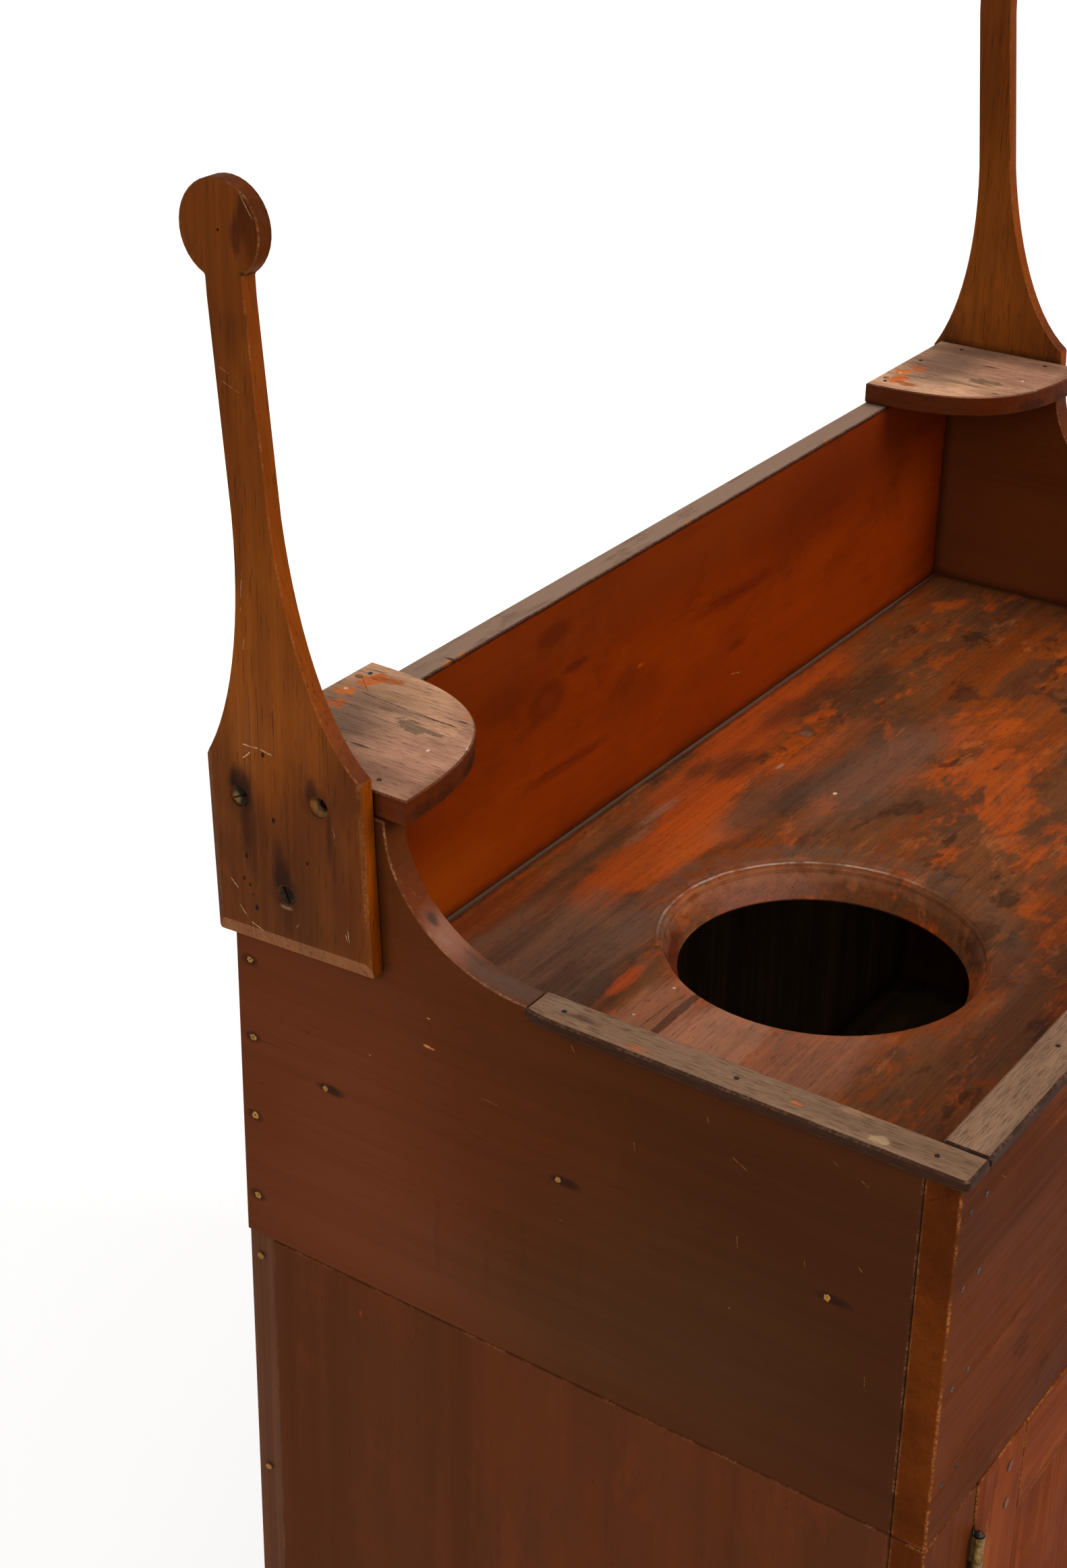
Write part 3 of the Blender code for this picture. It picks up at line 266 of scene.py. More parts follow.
def make_scratch():
    """Mask of one thin line from start to end, wandering a little and broken in places."""
    inputs = {"Start": NOWHERE, "End": (0.01, 0.0, 0.0), "Width": 0.0004, "Wander": 0.002, "Broken": 0.4}
    graph, given, out = new_group("scratch", inputs, "Mask")
    place = graph.place()
    shift = graph.add("TexNoise", {"Vector": place, "Scale": 55.0, "Detail": 2.0}).outputs["Color"]
    shift = graph.scaled(graph.vector("SUBTRACT", shift, (0.5, 0.5, 0.5)), given["Wander"])
    run = graph.vector("SUBTRACT", given["End"], given["Start"])
    away = graph.vector("SUBTRACT", graph.vector("ADD", place, shift), given["Start"])
    share = graph.math("DIVIDE", graph.measure("DOT_PRODUCT", away, run),
                       graph.measure("DOT_PRODUCT", run, run), clamp=True)
    distance = graph.measure("LENGTH", graph.vector("SUBTRACT", away, graph.scaled(run, share)))
    ends = graph.math("MULTIPLY", graph.ramp(share, 0.0, 0.12, 0.35, 1.0),
                      graph.ramp(share, 0.85, 1.0, 1.0, 0.3))
    width = graph.math("MULTIPLY", given["Width"], ends)
    line = graph.less(graph.ramp(distance, graph.math("MULTIPLY", width, 0.35), width))
    gaps = graph.less(graph.ramp(graph.noise(place, 420.0, 2.0, 0.6), 0.4, 0.56))
    shown = graph.less(graph.math("MULTIPLY", given["Broken"], gaps))
    graph.feed(out["Mask"], graph.math("MULTIPLY", line, shown, clamp=True))


def make_corner_dirt():
    """Mask of the dirt and old varnish that gathers in corners and joints, and of painted shade there: it
    follows how hollow the surface is.
    """
    graph, given, out = new_group("corner_dirt_and_shade", {"Reach": 0.02, "Full": 0.55}, "Mask")
    hollow = graph.add("AmbientOcclusion", {"Distance": given["Reach"]}, samples=6).outputs["AO"]
    uneven = graph.noise(graph.place(), 70.0, 3.0)
    level = graph.math("MULTIPLY_ADD", uneven, 0.3, graph.math("SUBTRACT", hollow, 0.15))
    graph.feed(out["Mask"], graph.ramp(level, given["Full"], 0.97, 1.0, 0.0))


def make_facing():
    """Masks of the faces that look up, down, to the front, to the back and to the ends."""
    graph, _, out = new_group("facing", {}, "Up", "Low", "Front", "Back", "End")
    x, y, z = graph.add("SeparateXYZ", {0: graph.add("TexCoord").outputs["Normal"]}).outputs
    for word, way, least, most in (("Up", z, 0.25, 0.8), ("Low", z, -0.12, -0.24), ("Front", y, -0.35, -0.75),
                                   ("Back", y, 0.35, 0.75), ("End", graph.math("ABSOLUTE", x), 0.35, 0.75)):
        graph.feed(out[word], graph.ramp(way, least, most))


for make_group in (make_timber_grain, make_edge_wear, make_stain_spot, make_patchwork, make_scratch,
                   make_corner_dirt, make_facing):
    make_group()


def along_grain(axis, share):
    """Stretch of a pattern along one axis."""
    return tuple(share if letter == axis else 1.0 for letter in "xyz")


# What a finish keeps to where nothing else is given: see wood for the pores and for the dirt and painted
# shade in corners
USUAL_PORES = (0.5, 900.0, 0.13, (40, 18, 8), 0.5)
USUAL_DIRT_AND_SHADE = (22, 9, 5)
MOST_DULL, LEAST_DULL = 0.95, 0.12
ACROSS_X, ACROSS_Z = (1.0, 0.0, 0.0), (0.0, 0.0, 1.0)


class Finish:
    """One surface's material, built up a layer at a time from the base stain."""

    def __init__(self, name, roughness, metallic=0.0, specular=0.5):
        self.material = bpy.data.materials.new(name)
        self.material.use_nodes = True
        self.graph = Graph(self.material.node_tree)
        self.shader = self.material.node_tree.nodes["Principled BSDF"].inputs
        values = (("Roughness", roughness), ("Metallic", metallic), ("Specular IOR Level", specular))
        for word, value in values:
            self.shader[word].default_value = value
        self.colour = None
        self.height = None
        self.dull = roughness

    def group(self, name, **values):
        inputs = {key.replace("_", " "): value for key, value in values.items()}
        return self.graph.add("Group", inputs, node_tree=GROUPS[name]).outputs

    def lay(self, mask, colour, share=1.0, blend="MIX"):
        """Lay a colour over what is there, where the mask says."""
        if isinstance(colour, tuple):
            colour = tone(*colour)
        if share != 1.0:
            mask = self.graph.math("MULTIPLY", mask, share)
        self.colour = self.graph.mix(mask, self.colour, colour, blend)

    def raise_by(self, mask, amount):
        """Add to the height of the surface, in metres."""
        added = self.graph.math("MULTIPLY", mask, amount)
        self.height = added if self.height is None else self.graph.math("ADD", self.height, added)

    def roughen(self, mask, amount):
        """Add to the roughness where the mask says."""
        self.dull = self.graph.math("MULTIPLY_ADD", mask, amount, self.dull)

    def done(self):
        limited = self.graph.math("MAXIMUM", self.graph.math("MINIMUM", self.dull, MOST_DULL), LEAST_DULL)
        bump = self.graph.add("Bump", {"Height": self.height, "Distance": 1.0, "Strength": 1.0})
        for word, value in (("Base Color", self.colour), ("Roughness", limited), ("Normal", bump.outputs[0])):
            self.graph.feed(self.shader[word], value)
        return self.material


def lay_patches(finish, axis, patches, within=None):
    """Lay irregular patches, each (scale, least, most, length, colour, share, seed), within a given mask."""
    for scale, least, most, length, colour, share, seed in patches:
        mask = finish.group("patchwork", Stretch=along_grain(axis, length), Scale=scale, Least=least,
                            Most=most, Offset=(seed, seed * 0.7, seed * 0.4))["Mask"]
        if within is not None:
            mask = finish.graph.math("MULTIPLY", mask, within)
        finish.lay(mask, colour, share)


def lay_spots(finish, axis, spots, within=None):
    """Lay single spots, each (place, half sizes, colour, share, raggedness, softness)."""
    for place, size, colour, share, ragged, soft in spots:
        fineness = min(0.9 / max(min(size), 0.002), 240.0)
        mask = finish.group("stain_spot", Centre=place, Size=size, Stretch=along_grain(axis, 0.42),
                            Ragged=ragged, Soft=soft, Fineness=fineness)["Mask"]
        if within is not None:
            mask = finish.graph.math("MULTIPLY", mask, within)
        finish.lay(mask, colour, share)


def lay_rings(finish, rings):
    """Lay rings round the bowl's hole, each (radius, half width, colour, share, share at the near side): worn
    rings, and a painted highlight and glare that are kept to the far side.
    """
    graph = finish.graph
    for radius, width, colour, share, near in rings:
        place = graph.place()
        level = graph.vector("MULTIPLY", graph.vector("SUBTRACT", place, (*HOLE_CENTRE, 0.0)), (1, 1, 0))
        gap = graph.math("SUBTRACT", graph.measure("LENGTH", level), radius)
        uneven = graph.math("MULTIPLY_ADD", graph.noise(place, 60.0, 4.0, 0.6), width * 1.4, width * -0.7)
        off = graph.math("ABSOLUTE", graph.math("ADD", gap, uneven))
        far = graph.measure("DOT_PRODUCT", graph.vector("NORMALIZE", level), (0.6, 0.8, 0.0))
        broken = graph.ramp(graph.noise(place, 85.0, 3.0, 0.6), 0.36, 0.6, 0.25, 1.0)
        shown = graph.math("MULTIPLY", broken, graph.ramp(far, 0.2, 0.95, near, 1.0))
        finish.lay(graph.math("MULTIPLY", graph.ramp(off, width, width * 0.25), shown), colour, share)


def wood(name, axis, dark, light, roughness, offset, rings, pores=(0.5,), streaks=0.2, cloud=None, top=None,
         low=None, front=None, back=None, end=None, edge=None, dirt_and_shade=(0.5, 0.006), patches=(), spots=(),
         top_patches=(), top_spots=(), late_spots=(), lines=(), hole_rings=(), relief=1.0, dull_top=0.1,
         specular=0.04):
    """A stained board: its grain, its varnish, its worn places and its marks.

    rings has the growth rings' count, the figure's scale and the rings' share of the colour. pores has their
    amount, scale, length, colour and share. cloud, top, low, front, back and end have a colour and its share.
    edge has the colour, the share, the radius and the directions across which an arris counts. The dirt and
    painted shade in corners have the share, how far they reach out of the corners, and the colour.
    """
    finish = Finish(name, roughness, specular=specular)
    graph = finish.graph
    ring_count, figure, ring_share = rings
    pore_amount, pore_scale, pore_length, pore_colour, pore_share = (*pores, *USUAL_PORES[len(pores):])
    grain = finish.group("timber_grain", Stretch=along_grain(axis, 0.06), Lines=along_grain(axis, 0.25),
                         Pore_Stretch=along_grain(axis, pore_length), Pore_Scale=pore_scale, Offset=offset,
                         Rings=ring_count, Figure=figure, Pore_Amount=pore_amount)
    base = graph.math("ADD", graph.math("MULTIPLY", grain["Rings"], ring_share),
                      graph.math("MULTIPLY", grain["Bands"], 1.0 - ring_share))
    finish.colour = graph.mix(base, tone(*dark), tone(*light))
    if cloud:
        finish.lay(grain["Clouds"], *cloud)
    lay_patches(finish, axis, patches)
    lay_spots(finish, axis, spots)
    sides = finish.group("facing")
    for word, layer in (("Low", low), ("Front", front), ("Back", back), ("End", end), ("Up", top)):
        if layer:
            finish.lay(sides[word], *layer)
    lay_patches(finish, axis, top_patches, sides["Up"])
    lay_spots(finish, axis, top_spots, sides["Up"])
    lay_spots(finish, axis, late_spots)
    shade = graph.math("MULTIPLY_ADD", grain["Streaks"], -streaks, 1.0 + streaks / 2)
    finish.lay(1.0, graph.add("CombineXYZ", {0: shade, 1: shade, 2: shade}).outputs[0], blend="MULTIPLY")
    finish.lay(grain["Pores"], pore_colour, pore_share)
    if edge:
        colour, share, radius, axes = (*edge, WHOLE)[:4]
        worn = finish.group("edge_wear", Radius=radius, Axes=axes)["Mask"]
        finish.lay(worn, colour, share)
        finish.roughen(worn, 0.12)
    # Dirt and painted shade darken the corners and joints, as far as the surface is hollow.
    dirt_and_shade_share, reach, dirt_and_shade_colour = (*dirt_and_shade, USUAL_DIRT_AND_SHADE)[:3]
    finish.lay(finish.group("corner_dirt_and_shade", Reach=reach)["Mask"], dirt_and_shade_colour, dirt_and_shade_share)
    lay_rings(finish, hole_rings)
    for start, stop, width, colour, share, wander, broken in lines:
        mask = finish.group("scratch", Start=start, End=stop, Width=width, Wander=wander,
                            Broken=broken)["Mask"]
        finish.lay(mask, colour, share)
    for word, height in (("Rings", 0.00004), ("Streaks", -0.00003), ("Pores", -0.00008)):
        finish.raise_by(grain[word], height * relief)
    finish.roughen(grain["Clouds"], 0.1)
    finish.roughen(grain["Streaks"], 0.08)
    if dull_top:
        finish.roughen(sides["Up"], dull_top)
    return finish.done()


def plain_metal(name, dark, light, roughness, rust, rust_share, metallic=0.85, specular=0.5, spots=()):
    """Old metal: mottled, with rust or tarnish in patches, and darker joints with dirt and painted shade."""
    finish = Finish(name, roughness, metallic, specular)
    graph = finish.graph
    place = graph.place()
    mottle = graph.ramp(graph.noise(place, 380.0, 4.0, 0.6), 0.3, 0.7)
    finish.colour = graph.mix(mottle, tone(*dark), tone(*light))
    patches = graph.ramp(graph.noise(place, 210.0, 3.0, 0.6), 0.45, 0.62)
    finish.lay(patches, rust, rust_share)
    finish.roughen(patches, 0.25)
    finish.lay(finish.group("edge_wear", Radius=0.0006)["Mask"], light, 0.7)
    lay_spots(finish, "z", spots)
    # Dirt and painted shade round the head's edge and in the joints.
    finish.lay(finish.group("corner_dirt_and_shade", Reach=0.003)["Mask"], (20, 12, 8), 0.75)
    finish.raise_by(mottle, 0.00003)
    return finish.done()


# Marks of the pictured side

# All numbers of these rows are millimetres or percent. A spot has its place, its three half sizes, its
# colour, and its share, raggedness and softness. A line has its two ends, its width, its colour, its share,
# how far it wanders and how broken it is.

PALE = (205, 160, 105)
CREAM = (222, 190, 140)
SOOT = (26, 12, 8)


def spots_on(place, rows):
    """Spots on a surface whose places are found by a function."""
    spots = []
    for *numbers, colour, share, ragged, soft in rows:
        spots.append((place(*numbers[:-3]), metres(*numbers[-3:]), colour,
                      share / 100, ragged / 100, soft / 100))
    return spots


def marks_on(place, spots, lines, **more_spots):
    """Marks of a surface whose places are found by a function, as the values that wood takes."""
    marks = {word: spots_on(place, rows) for word, rows in more_spots.items()}
    marks["spots"] = spots_on(place, spots)
    marks["lines"] = []
    for u, v, u_end, v_end, width, colour, share, wander, broken in lines:
        marks["lines"].append((place(u, v), place(u_end, v_end), width / 1000, colour, share / 100,
                               wander / 1000, broken / 100))
    return marks


ARM_SPOTS = (
    (38, 200, 20, 30, 90, (150, 78, 16), 50, 90, 80), (52, 136, 20, 30, 30, (146, 76, 22), 45, 100, 80),
    (8, 60, 20, 12, 50, (84, 44, 20), 30, 100, 80), (60, 12, 20, 40, 12, (84, 44, 18), 50, 100, 80),
    (36, 34, 20, 30, 30, (78, 42, 20), 50, 140, 70), (74, 48, 20, 24, 36, (82, 44, 18), 45, 140, 70),
    (10, 96, 20, 12, 30, (84, 44, 18), 40, 140, 70), (36, 70, 20, 8, 14, (76, 38, 16), 45, 120, 70),
    (24, 86, 10, 8.5, 14, (58, 28, 12), 60, 120, 60), (22, 93, 10, 5.5, 8, SOOT, 90, 120, 45),
    (27, 87, 10, 3, 10, SOOT, 75, 100, 50), (25, 66, 10, 3.5, 18, (44, 20, 10), 70, 130, 60),
    (30, 60, 10, 2, 22, (52, 24, 12), 55, 130, 60), (49, 33, 10, 9, 10, (56, 28, 14), 60, 100, 50),
    (48, 42, 10, 5.5, 12, (36, 17, 9), 75, 130, 50), (46, 54, 10, 3.5, 10, (52, 25, 12), 60, 130, 60),
    (50, 20, 10, 4, 10, (60, 30, 14), 50, 130, 60), (75, 92, 10, 8.5, 9, (64, 30, 14), 60, 100, 50),
    (72, 99, 10, 3.5, 8, (40, 18, 9), 65, 120, 50), (82, 74, 10, 1.6, 14, (44, 20, 10), 60, 110, 60),
    (84, 58, 10, 1.2, 12, (50, 22, 10), 50, 110, 60), (86, 60, 10, 5, 50, (70, 32, 14), 40, 120, 70),
    (60, 60, 10, 3, 42, (84, 40, 16), 40, 120, 70), (92, 30, 10, 6, 26, (76, 34, 14), 40, 120, 70),
    (54, 398, 20, 3, 11, (38, 18, 9), 85, 110, 40), (48.5, 387, 20, 2.8, 9, (44, 20, 10), 80, 110, 40),
    (41, 338, 10, 6, 11, (66, 30, 12), 40, 130, 70), (30, 216, 10, 3, 12, (50, 26, 12), 55, 130, 50),
    (33, 300, 10, 4, 22, (74, 32, 12), 45, 120, 60), (38, 240, 10, 4, 40, (84, 38, 14), 40, 120, 70),
    (45, 160, 10, 6, 40, (92, 44, 18), 35, 130, 80), (30, 120, 10, 10, 24, (134, 76, 36), 35, 120, 80),
)
# Small dark dots, with their radius
ARM_DOTS = ((40.6, 112.4, 1), (44.6, 75.3, 1.1), (23.5, 48.7, 1), (20.7, 34.4, 0.9), (24.7, 31.5, 0.8),
            (28.2, 18.5, 1.2), (65.8, 55.5, 0.8), (26, 26, 0.6))
# Both ends, width and share
ARM_SCRATCHES = (
    (25.7, 107, 31.9, 111.9, 0.5, 95), (26.5, 116, 38.5, 115, 0.45, 80), (38.5, 115, 47, 113.4, 0.4, 70),
    (10.9, 32.6, 16.3, 26.9, 0.4, 80), (15.9, 17.1, 22.3, 9.1, 0.45, 80), (22.3, 9.1, 32.4, 5.2, 0.4, 70),
    (61.3, 35.7, 63.8, 31.4, 0.4, 70), (60.7, 22.5, 54.8, 13.6, 0.35, 60), (89.8, 26, 91.2, 13.3, 0.35, 70),
    (88.5, 20, 92, 10, 0.3, 60), (14.8, 404, 12.2, 381, 0.35, 50), (30.8, 314.5, 43.5, 309.4, 0.25, 40),
    (30, 322, 38, 318, 0.22, 30), (52.1, 409.5, 60.5, 397, 0.35, 45), (60, 40, 59, 62, 0.3, 40),
    (84, 84, 86.5, 70, 0.3, 40), (36, 215, 33, 190, 0.3, 35), (30, 160, 34, 178, 0.3, 35),
)
# In the empty hole, at the head's foot and in three small places. In the hole the pale row colours the
# countersink, and the darker rows over its upper side, its upper front side and its bore are painted shade.
ARM_LATE_SPOTS = (
    (*EMPTY_HOLE, 3, 0, 0, 2.6, 6.6, 6.6, (124, 94, 52), 80, 110, 30),
    (*EMPTY_HOLE, 3, 1, 4, 2.4, 6, 3, (66, 38, 20), 85, 90, 40),
    (*EMPTY_HOLE, 3, -1.8, 1.8, 2.8, 4.8, 4.6, (22, 12, 7), 95, 80, 30),
    (62, 392, 20, 10, 22, (70, 28, 2), 92, 80, 50),
    (*EMPTY_HOLE, 4.8, -0.8, 0.8, 3, 4.6, 4.6, (14, 7, 4), 95, 50, 25),
    (46, 315, 20, 30, 85, (104, 48, 8), 45, 80, 60),
    (55.5, 369, 20, 6, 1.2, SOOT, 75, 80, 40), (49.4, 24.6, 10, 4, 1.2, (150, 118, 84), 55, 110, 50),
)


def arm_marks(side):
    """Marks of an arm's outer face."""
    dots = [(u, v, 10, radius, radius * 1.5, SOOT, 92, 70, 35) for u, v, radius in ARM_DOTS]
    scratches = [(*ends, width, CREAM, share, 3, 55) for *ends, width, share in ARM_SCRATCHES]
    return marks_on(partial(arm_place, side=side), (*ARM_SPOTS, *dots), scratches, late_spots=ARM_LATE_SPOTS)


# The rows at 160, 130 and 205 make the face lighter and redder towards the back, and the row at -160 makes it
# much darker towards the front: a painted gradient of light and shade. The rows between give browner patches.
END_SPOTS = (
    (160, 660, 30, 90, 120, (110, 54, 27), 60, 60, 80), (130, 600, 30, 80, 40, (108, 54, 29), 60, 60, 80),
    (-160, 680, 30, 170, 160, (64, 31, 9), 85, 50, 80), (10, 600, 30, 90, 40, (84, 50, 27), 45, 70, 80),
    (30, 690, 30, 60, 60, (84, 38, 10), 50, 70, 80), (-60, 640, 30, 90, 50, (76, 44, 20), 50, 70, 80),
    (205, 720, 30, 18, 110, (100, 46, 20), 50, 80, 80),
)
# Pale chips, with their size
END_CHIPS = ((96.4, 743.5, 2.4), (93, 743.2, 1.6), (95.5, 761.3, 1.1), (134.9, 723, 0.8), (-91.1, 661, 0.6))
# Both ends, and a width that is half as much again as the drawn one
END_SCRATCHES = (
    (6.6, 780, 4, 775, 0.35), (-32.2, 737, -33, 731.5, 0.4), (-88, 752, -96.5, 747.5, 0.5),
    (-125.6, 748, -129, 742, 0.35), (-64, 695.5, -73, 693, 0.4), (-93.2, 707, -94, 699.5, 0.35),
    (-162.6, 700, -163, 694.5, 0.3), (-130.4, 709.5, -131, 704, 0.35), (-166.9, 656, -167.2, 649.5, 0.3),
    (-139.4, 774, -145, 770.5, 0.4), (-156.2, 768, -161, 765, 0.4), (-126.5, 780, -133, 777, 0.35),
    (-104.2, 742, -106, 736.5, 0.35), (-11.4, 735, -16, 733.5, 0.35), (-73, 769, -74, 765.5, 0.3),
    (-76, 781.5, -79, 780, 0.4), (15, 786, 11, 784.5, 0.4), (-130, 736, -132, 733.5, 0.4),
    (-159, 718.5, -161.5, 716, 0.4), (62, 725, 48, 724.6, 0.3), (18, 670, -4, 669.2, 0.3),
    (120, 666, 108, 665.2, 0.3),
)
END_CRACKS = ((74.8, 701.1, 36.5, 695.6), (36.5, 695.6, -3, 704.7), (-3, 704.7, -90.9, 701.8),
              (-90.9, 701.8, -138.5, 698.1), (198, 689.5, 160, 688.9), (215, 702.5, 196, 702))
# Dark runs straight down: y, and z at both ends
END_RUNS = ((57, 634, 597), (34, 660, 621), (-2, 660, 621), (90, 650, 600))
# The three pale pinkish grey rows at 86 and 56 are painted highlights on the scoop. The others are worn and
# dark places, orange chips and a dark joint.
SCOOP_SPOTS = (
    (-416.3, 86, 812, 14, 18, 14, (156, 106, 84), 75, 100, 60),
    (-416.3, 46, 802, 14, 28, 14, (94, 72, 58), 90, 110, 45),
    (-416.3, 97.8, 818, 3.6, 5, 4, (58, 48, 42), 80, 140, 40),
    (-419, 86, 811, 3, 6, 4, (150, 116, 94), 60, 160, 40),
    (-413, 70, 805, 3, 10, 6, (74, 56, 46), 55, 160, 40),
    (-417, 56, 803, 2.6, 12, 6, (132, 102, 84), 60, 170, 40),
    (-423.7, 56.4, 803, 2.2, 10, 4, (214, 136, 78), 85, 180, 30),
    (-423.7, 40.7, 800, 2.6, 8, 4, (204, 110, 54), 85, 180, 30),
    (-420, 33, 799, 5, 2.6, 4, (196, 102, 52), 75, 180, 30),
    (-415, 44, 801, 2, 8, 4, (56, 42, 34), 65, 160, 40),
    (-416.3, 28.5, 799, 14, 0.8, 4, (30, 16, 10), 80, 60, 40),
)


def end_marks(side):
    """Marks of an end board's outer face, with a painted gradient of light and shade, and the worn places and
    painted highlights of its scoop.
    """
    spots = [*END_SPOTS]
    spots += [(y, z, 10, 5.2, 3.4, (48, 22, 12), 80, 90, 50) for y, z in END_NAILS]
    spots += [(y - 4, z + 0.2, 10, 8.5, 2.8, (44, 20, 10), 85, 90, 50) for y, z in END_PUTTY]
    spots += [(y, z, 10, size / 1.1, size / 3, (206, 132, 74), 80, 130, 40) for y, z, size in END_CHIPS]
    lines = [(*ends, width / 1.5, (186, 122, 72), 50, 2, 75) for *ends, width in END_SCRATCHES]
    lines += [(*ends, 0.4, SOOT, 55, 4, 45) for ends in END_CRACKS]
    lines += [(y, z, y, z_end, 3, (64, 28, 12), 20, 4, 70) for y, z, z_end in END_RUNS]
    scoop = spots_on(partial(scoop_place, side=side), SCOOP_SPOTS)
    return {"top_spots": scoop, **marks_on(partial(end_place, side=side), spots, lines)}


# On the bowl board. The two rows with three numbers for their place are on the wall of the hole, and the pale
# one of these paints the glare on the wall.
BOWL_SPOTS = (
    (-360, 100, 50, 16, 30, (66, 42, 28), 75, 170, 30), (-345, 70, 40, 12, 30, (74, 50, 36), 70, 170, 30),
    (-325, 140, 40, 10, 30, (70, 44, 30), 65, 170, 30), (-300, 100, 50, 12, 30, (130, 94, 76), 55, 190, 30),
    (-350, 10, 50, 30, 30, (92, 66, 50), 70, 160, 40), (-375, 150, 30, 12, 30, (150, 72, 30), 60, 170, 35),
    (-330, 40, 45, 10, 30, (120, 86, 66), 60, 170, 35), (-245, 150, 80, 34, 30, (106, 62, 36), 75, 140, 35),
    (-250, 120, 60, 22, 30, (92, 56, 36), 70, 160, 32), (-205, 110, 40, 16, 30, (104, 66, 46), 75, 160, 32),
    (-330, 190, 80, 16, 30, (140, 66, 24), 55, 150, 30),
    (-115, 186, 110, 10, 30, (124, 70, 38), 65, 160, 32), (-150, 176, 70, 9, 30, (92, 58, 36), 70, 180, 32),
    (-120, 148, 74, 20, 30, (176, 76, 22), 88, 150, 26), (-70, 136, 60, 14, 30, (188, 84, 28), 88, 150, 26),
    (-35, 158, 60, 12, 30, (190, 78, 20), 85, 150, 26), (20, 178, 80, 20, 30, (178, 74, 20), 70, 150, 30),
    (120, 192, 110, 20, 30, (170, 70, 18), 75, 150, 30), (-40, 128, 36, 12, 30, (170, 88, 50), 60, 150, 30),
    (0, 126, 50, 16, 30, (104, 68, 46), 80, 150, 45), (40, 112, 60, 12, 30, (84, 58, 42), 75, 160, 45),
    (75, 86, 90, 26, 30, (118, 84, 64), 70, 130, 50), (90, 128, 60, 12, 30, (150, 76, 38), 60, 150, 30),
    (22, 170, 22, 11, 30, (66, 40, 26), 60, 200, 60), (6, 186, 16, 6, 30, (72, 42, 26), 60, 200, 60),
    (120, 180, 30, 12, 30, (74, 42, 26), 52, 200, 60), (167, 176, 26, 9, 30, (76, 44, 26), 60, 200, 60),
    (200, 157, 30, 12, 30, (80, 46, 28), 60, 200, 60), (-174, 130, 20, 6, 30, (74, 42, 26), 70, 160, 50),
    (-96, 169, 16, 3.5, 30, (156, 108, 78), 40, 200, 50), (-60, 176, 22, 4, 30, (160, 112, 84), 45, 160, 50),
    (-285, 90, 40, 16, 30, (86, 54, 36), 75, 160, 32), (-262, 132, 85, 46, 30, (122, 86, 64), 72, 160, 35),
    (-230, 192, 60, 10, 30, (132, 58, 18), 70, 170, 30), (-290, 112, 60, 9, 30, (72, 48, 36), 55, 220, 35),
    (-262, 156, 50, 7, 30, (84, 56, 40), 45, 220, 35), (-285, 92, 70, 8, 30, (72, 50, 38), 50, 220, 35),
    (-242, 128, 40, 7, 30, (92, 62, 44), 40, 220, 35),
    (-200, 80, 12.6, 46, 40, 9.2, (92, 32, 10), 88, 80, 40),
    (-90, 82, 12.6, 46, 34, 9.2, (146, 98, 80), 55, 90, 50),
    (-282, 50, 60, 18, 30, (172, 108, 76), 75, 150, 30), (-275, 10, 50, 24, 30, (176, 118, 88), 80, 150, 30),
    (-262, -40, 60, 30, 30, (164, 104, 76), 60, 150, 30), (-262, 41, 40, 3.2, 30, (70, 42, 30), 80, 150, 26),
    (-248, 83, 20, 5, 30, (184, 78, 32), 80, 150, 26), (96, 153, 4.2, 4.2, 30, (126, 100, 78), 60, 50, 40),
    (42, 144, 5, 1.4, 30, (188, 150, 120), 70, 100, 40), (29, 95, 1.7, 1.3, 30, (232, 206, 166), 95, 50, 30),
    (-239, 56, 0.9, 0.9, 30, (214, 196, 160), 90, 50, 30),
    (-276.5, 60, 0.8, 0.8, 30, (214, 196, 160), 90, 50, 30),
)
BOWL_LINES = (
    (-400, 205, 400, 205.2, 3, (56, 34, 24), 55, 3, 30),
    (-404, 208, 404, 208, 3.2, (102, 86, 70), 90, 1.5, 15),
    (-404, 209.4, 404, 209.4, 0.9, (24, 12, 8), 80, 0.5, 20), (-300, 52, -235, 47, 0.7, SOOT, 60, 3, 50),
    (-310, 30, -250, 28, 0.5, SOOT, 50, 3, 50), (60, 120, 180, 112, 0.5, SOOT, 40, 4, 50),
)

SPLASH_DARK = (84, 26, 6)
# The rows at -200, 160 and -300, low on the face, are a painted pool of light. The rows at 230 and -330, high
# up, are painted shadow by the corner shelves. The wide row at 850 makes the face darker towards its top. The
# rest are stains.
SPLASH_SPOTS = (
    (-200, 730, 160, 30, 30, (150, 54, 3), 45, 90, 90), (160, 735, 220, 30, 35, (150, 50, 2), 40, 90, 90),
    (-300, 722, 90, 30, 22, (168, 72, 6), 60, 100, 80), (0, 850, 500, 30, 22, (112, 44, 12), 45, 80, 90),
    (-144.5, 803.1, 20, 30, 12, (90, 28, 6), 65, 110, 45),
    (-144.5, 803.1, 10, 30, 6, (118, 40, 8), 60, 100, 45),
    (-139.1, 846.9, 18, 30, 7, SPLASH_DARK, 55, 130, 50), (-190, 820, 30, 30, 12, SPLASH_DARK, 40, 140, 60),
    (-114, 816.7, 14, 30, 3, SPLASH_DARK, 60, 120, 50), (90, 795, 50, 30, 5.5, (96, 26, 5), 60, 120, 60),
    (-35.1, 786.8, 3.5, 30, 1.4, (190, 86, 26), 45, 100, 50),
    (93, 754.6, 12, 30, 3.5, SPLASH_DARK, 45, 120, 50), (-120, 750, 50, 30, 4, SPLASH_DARK, 45, 130, 50),
    (230, 830, 100, 30, 30, (92, 26, 5), 50, 120, 70), (-330, 800, 60, 30, 60, (84, 24, 5), 50, 100, 80),
)
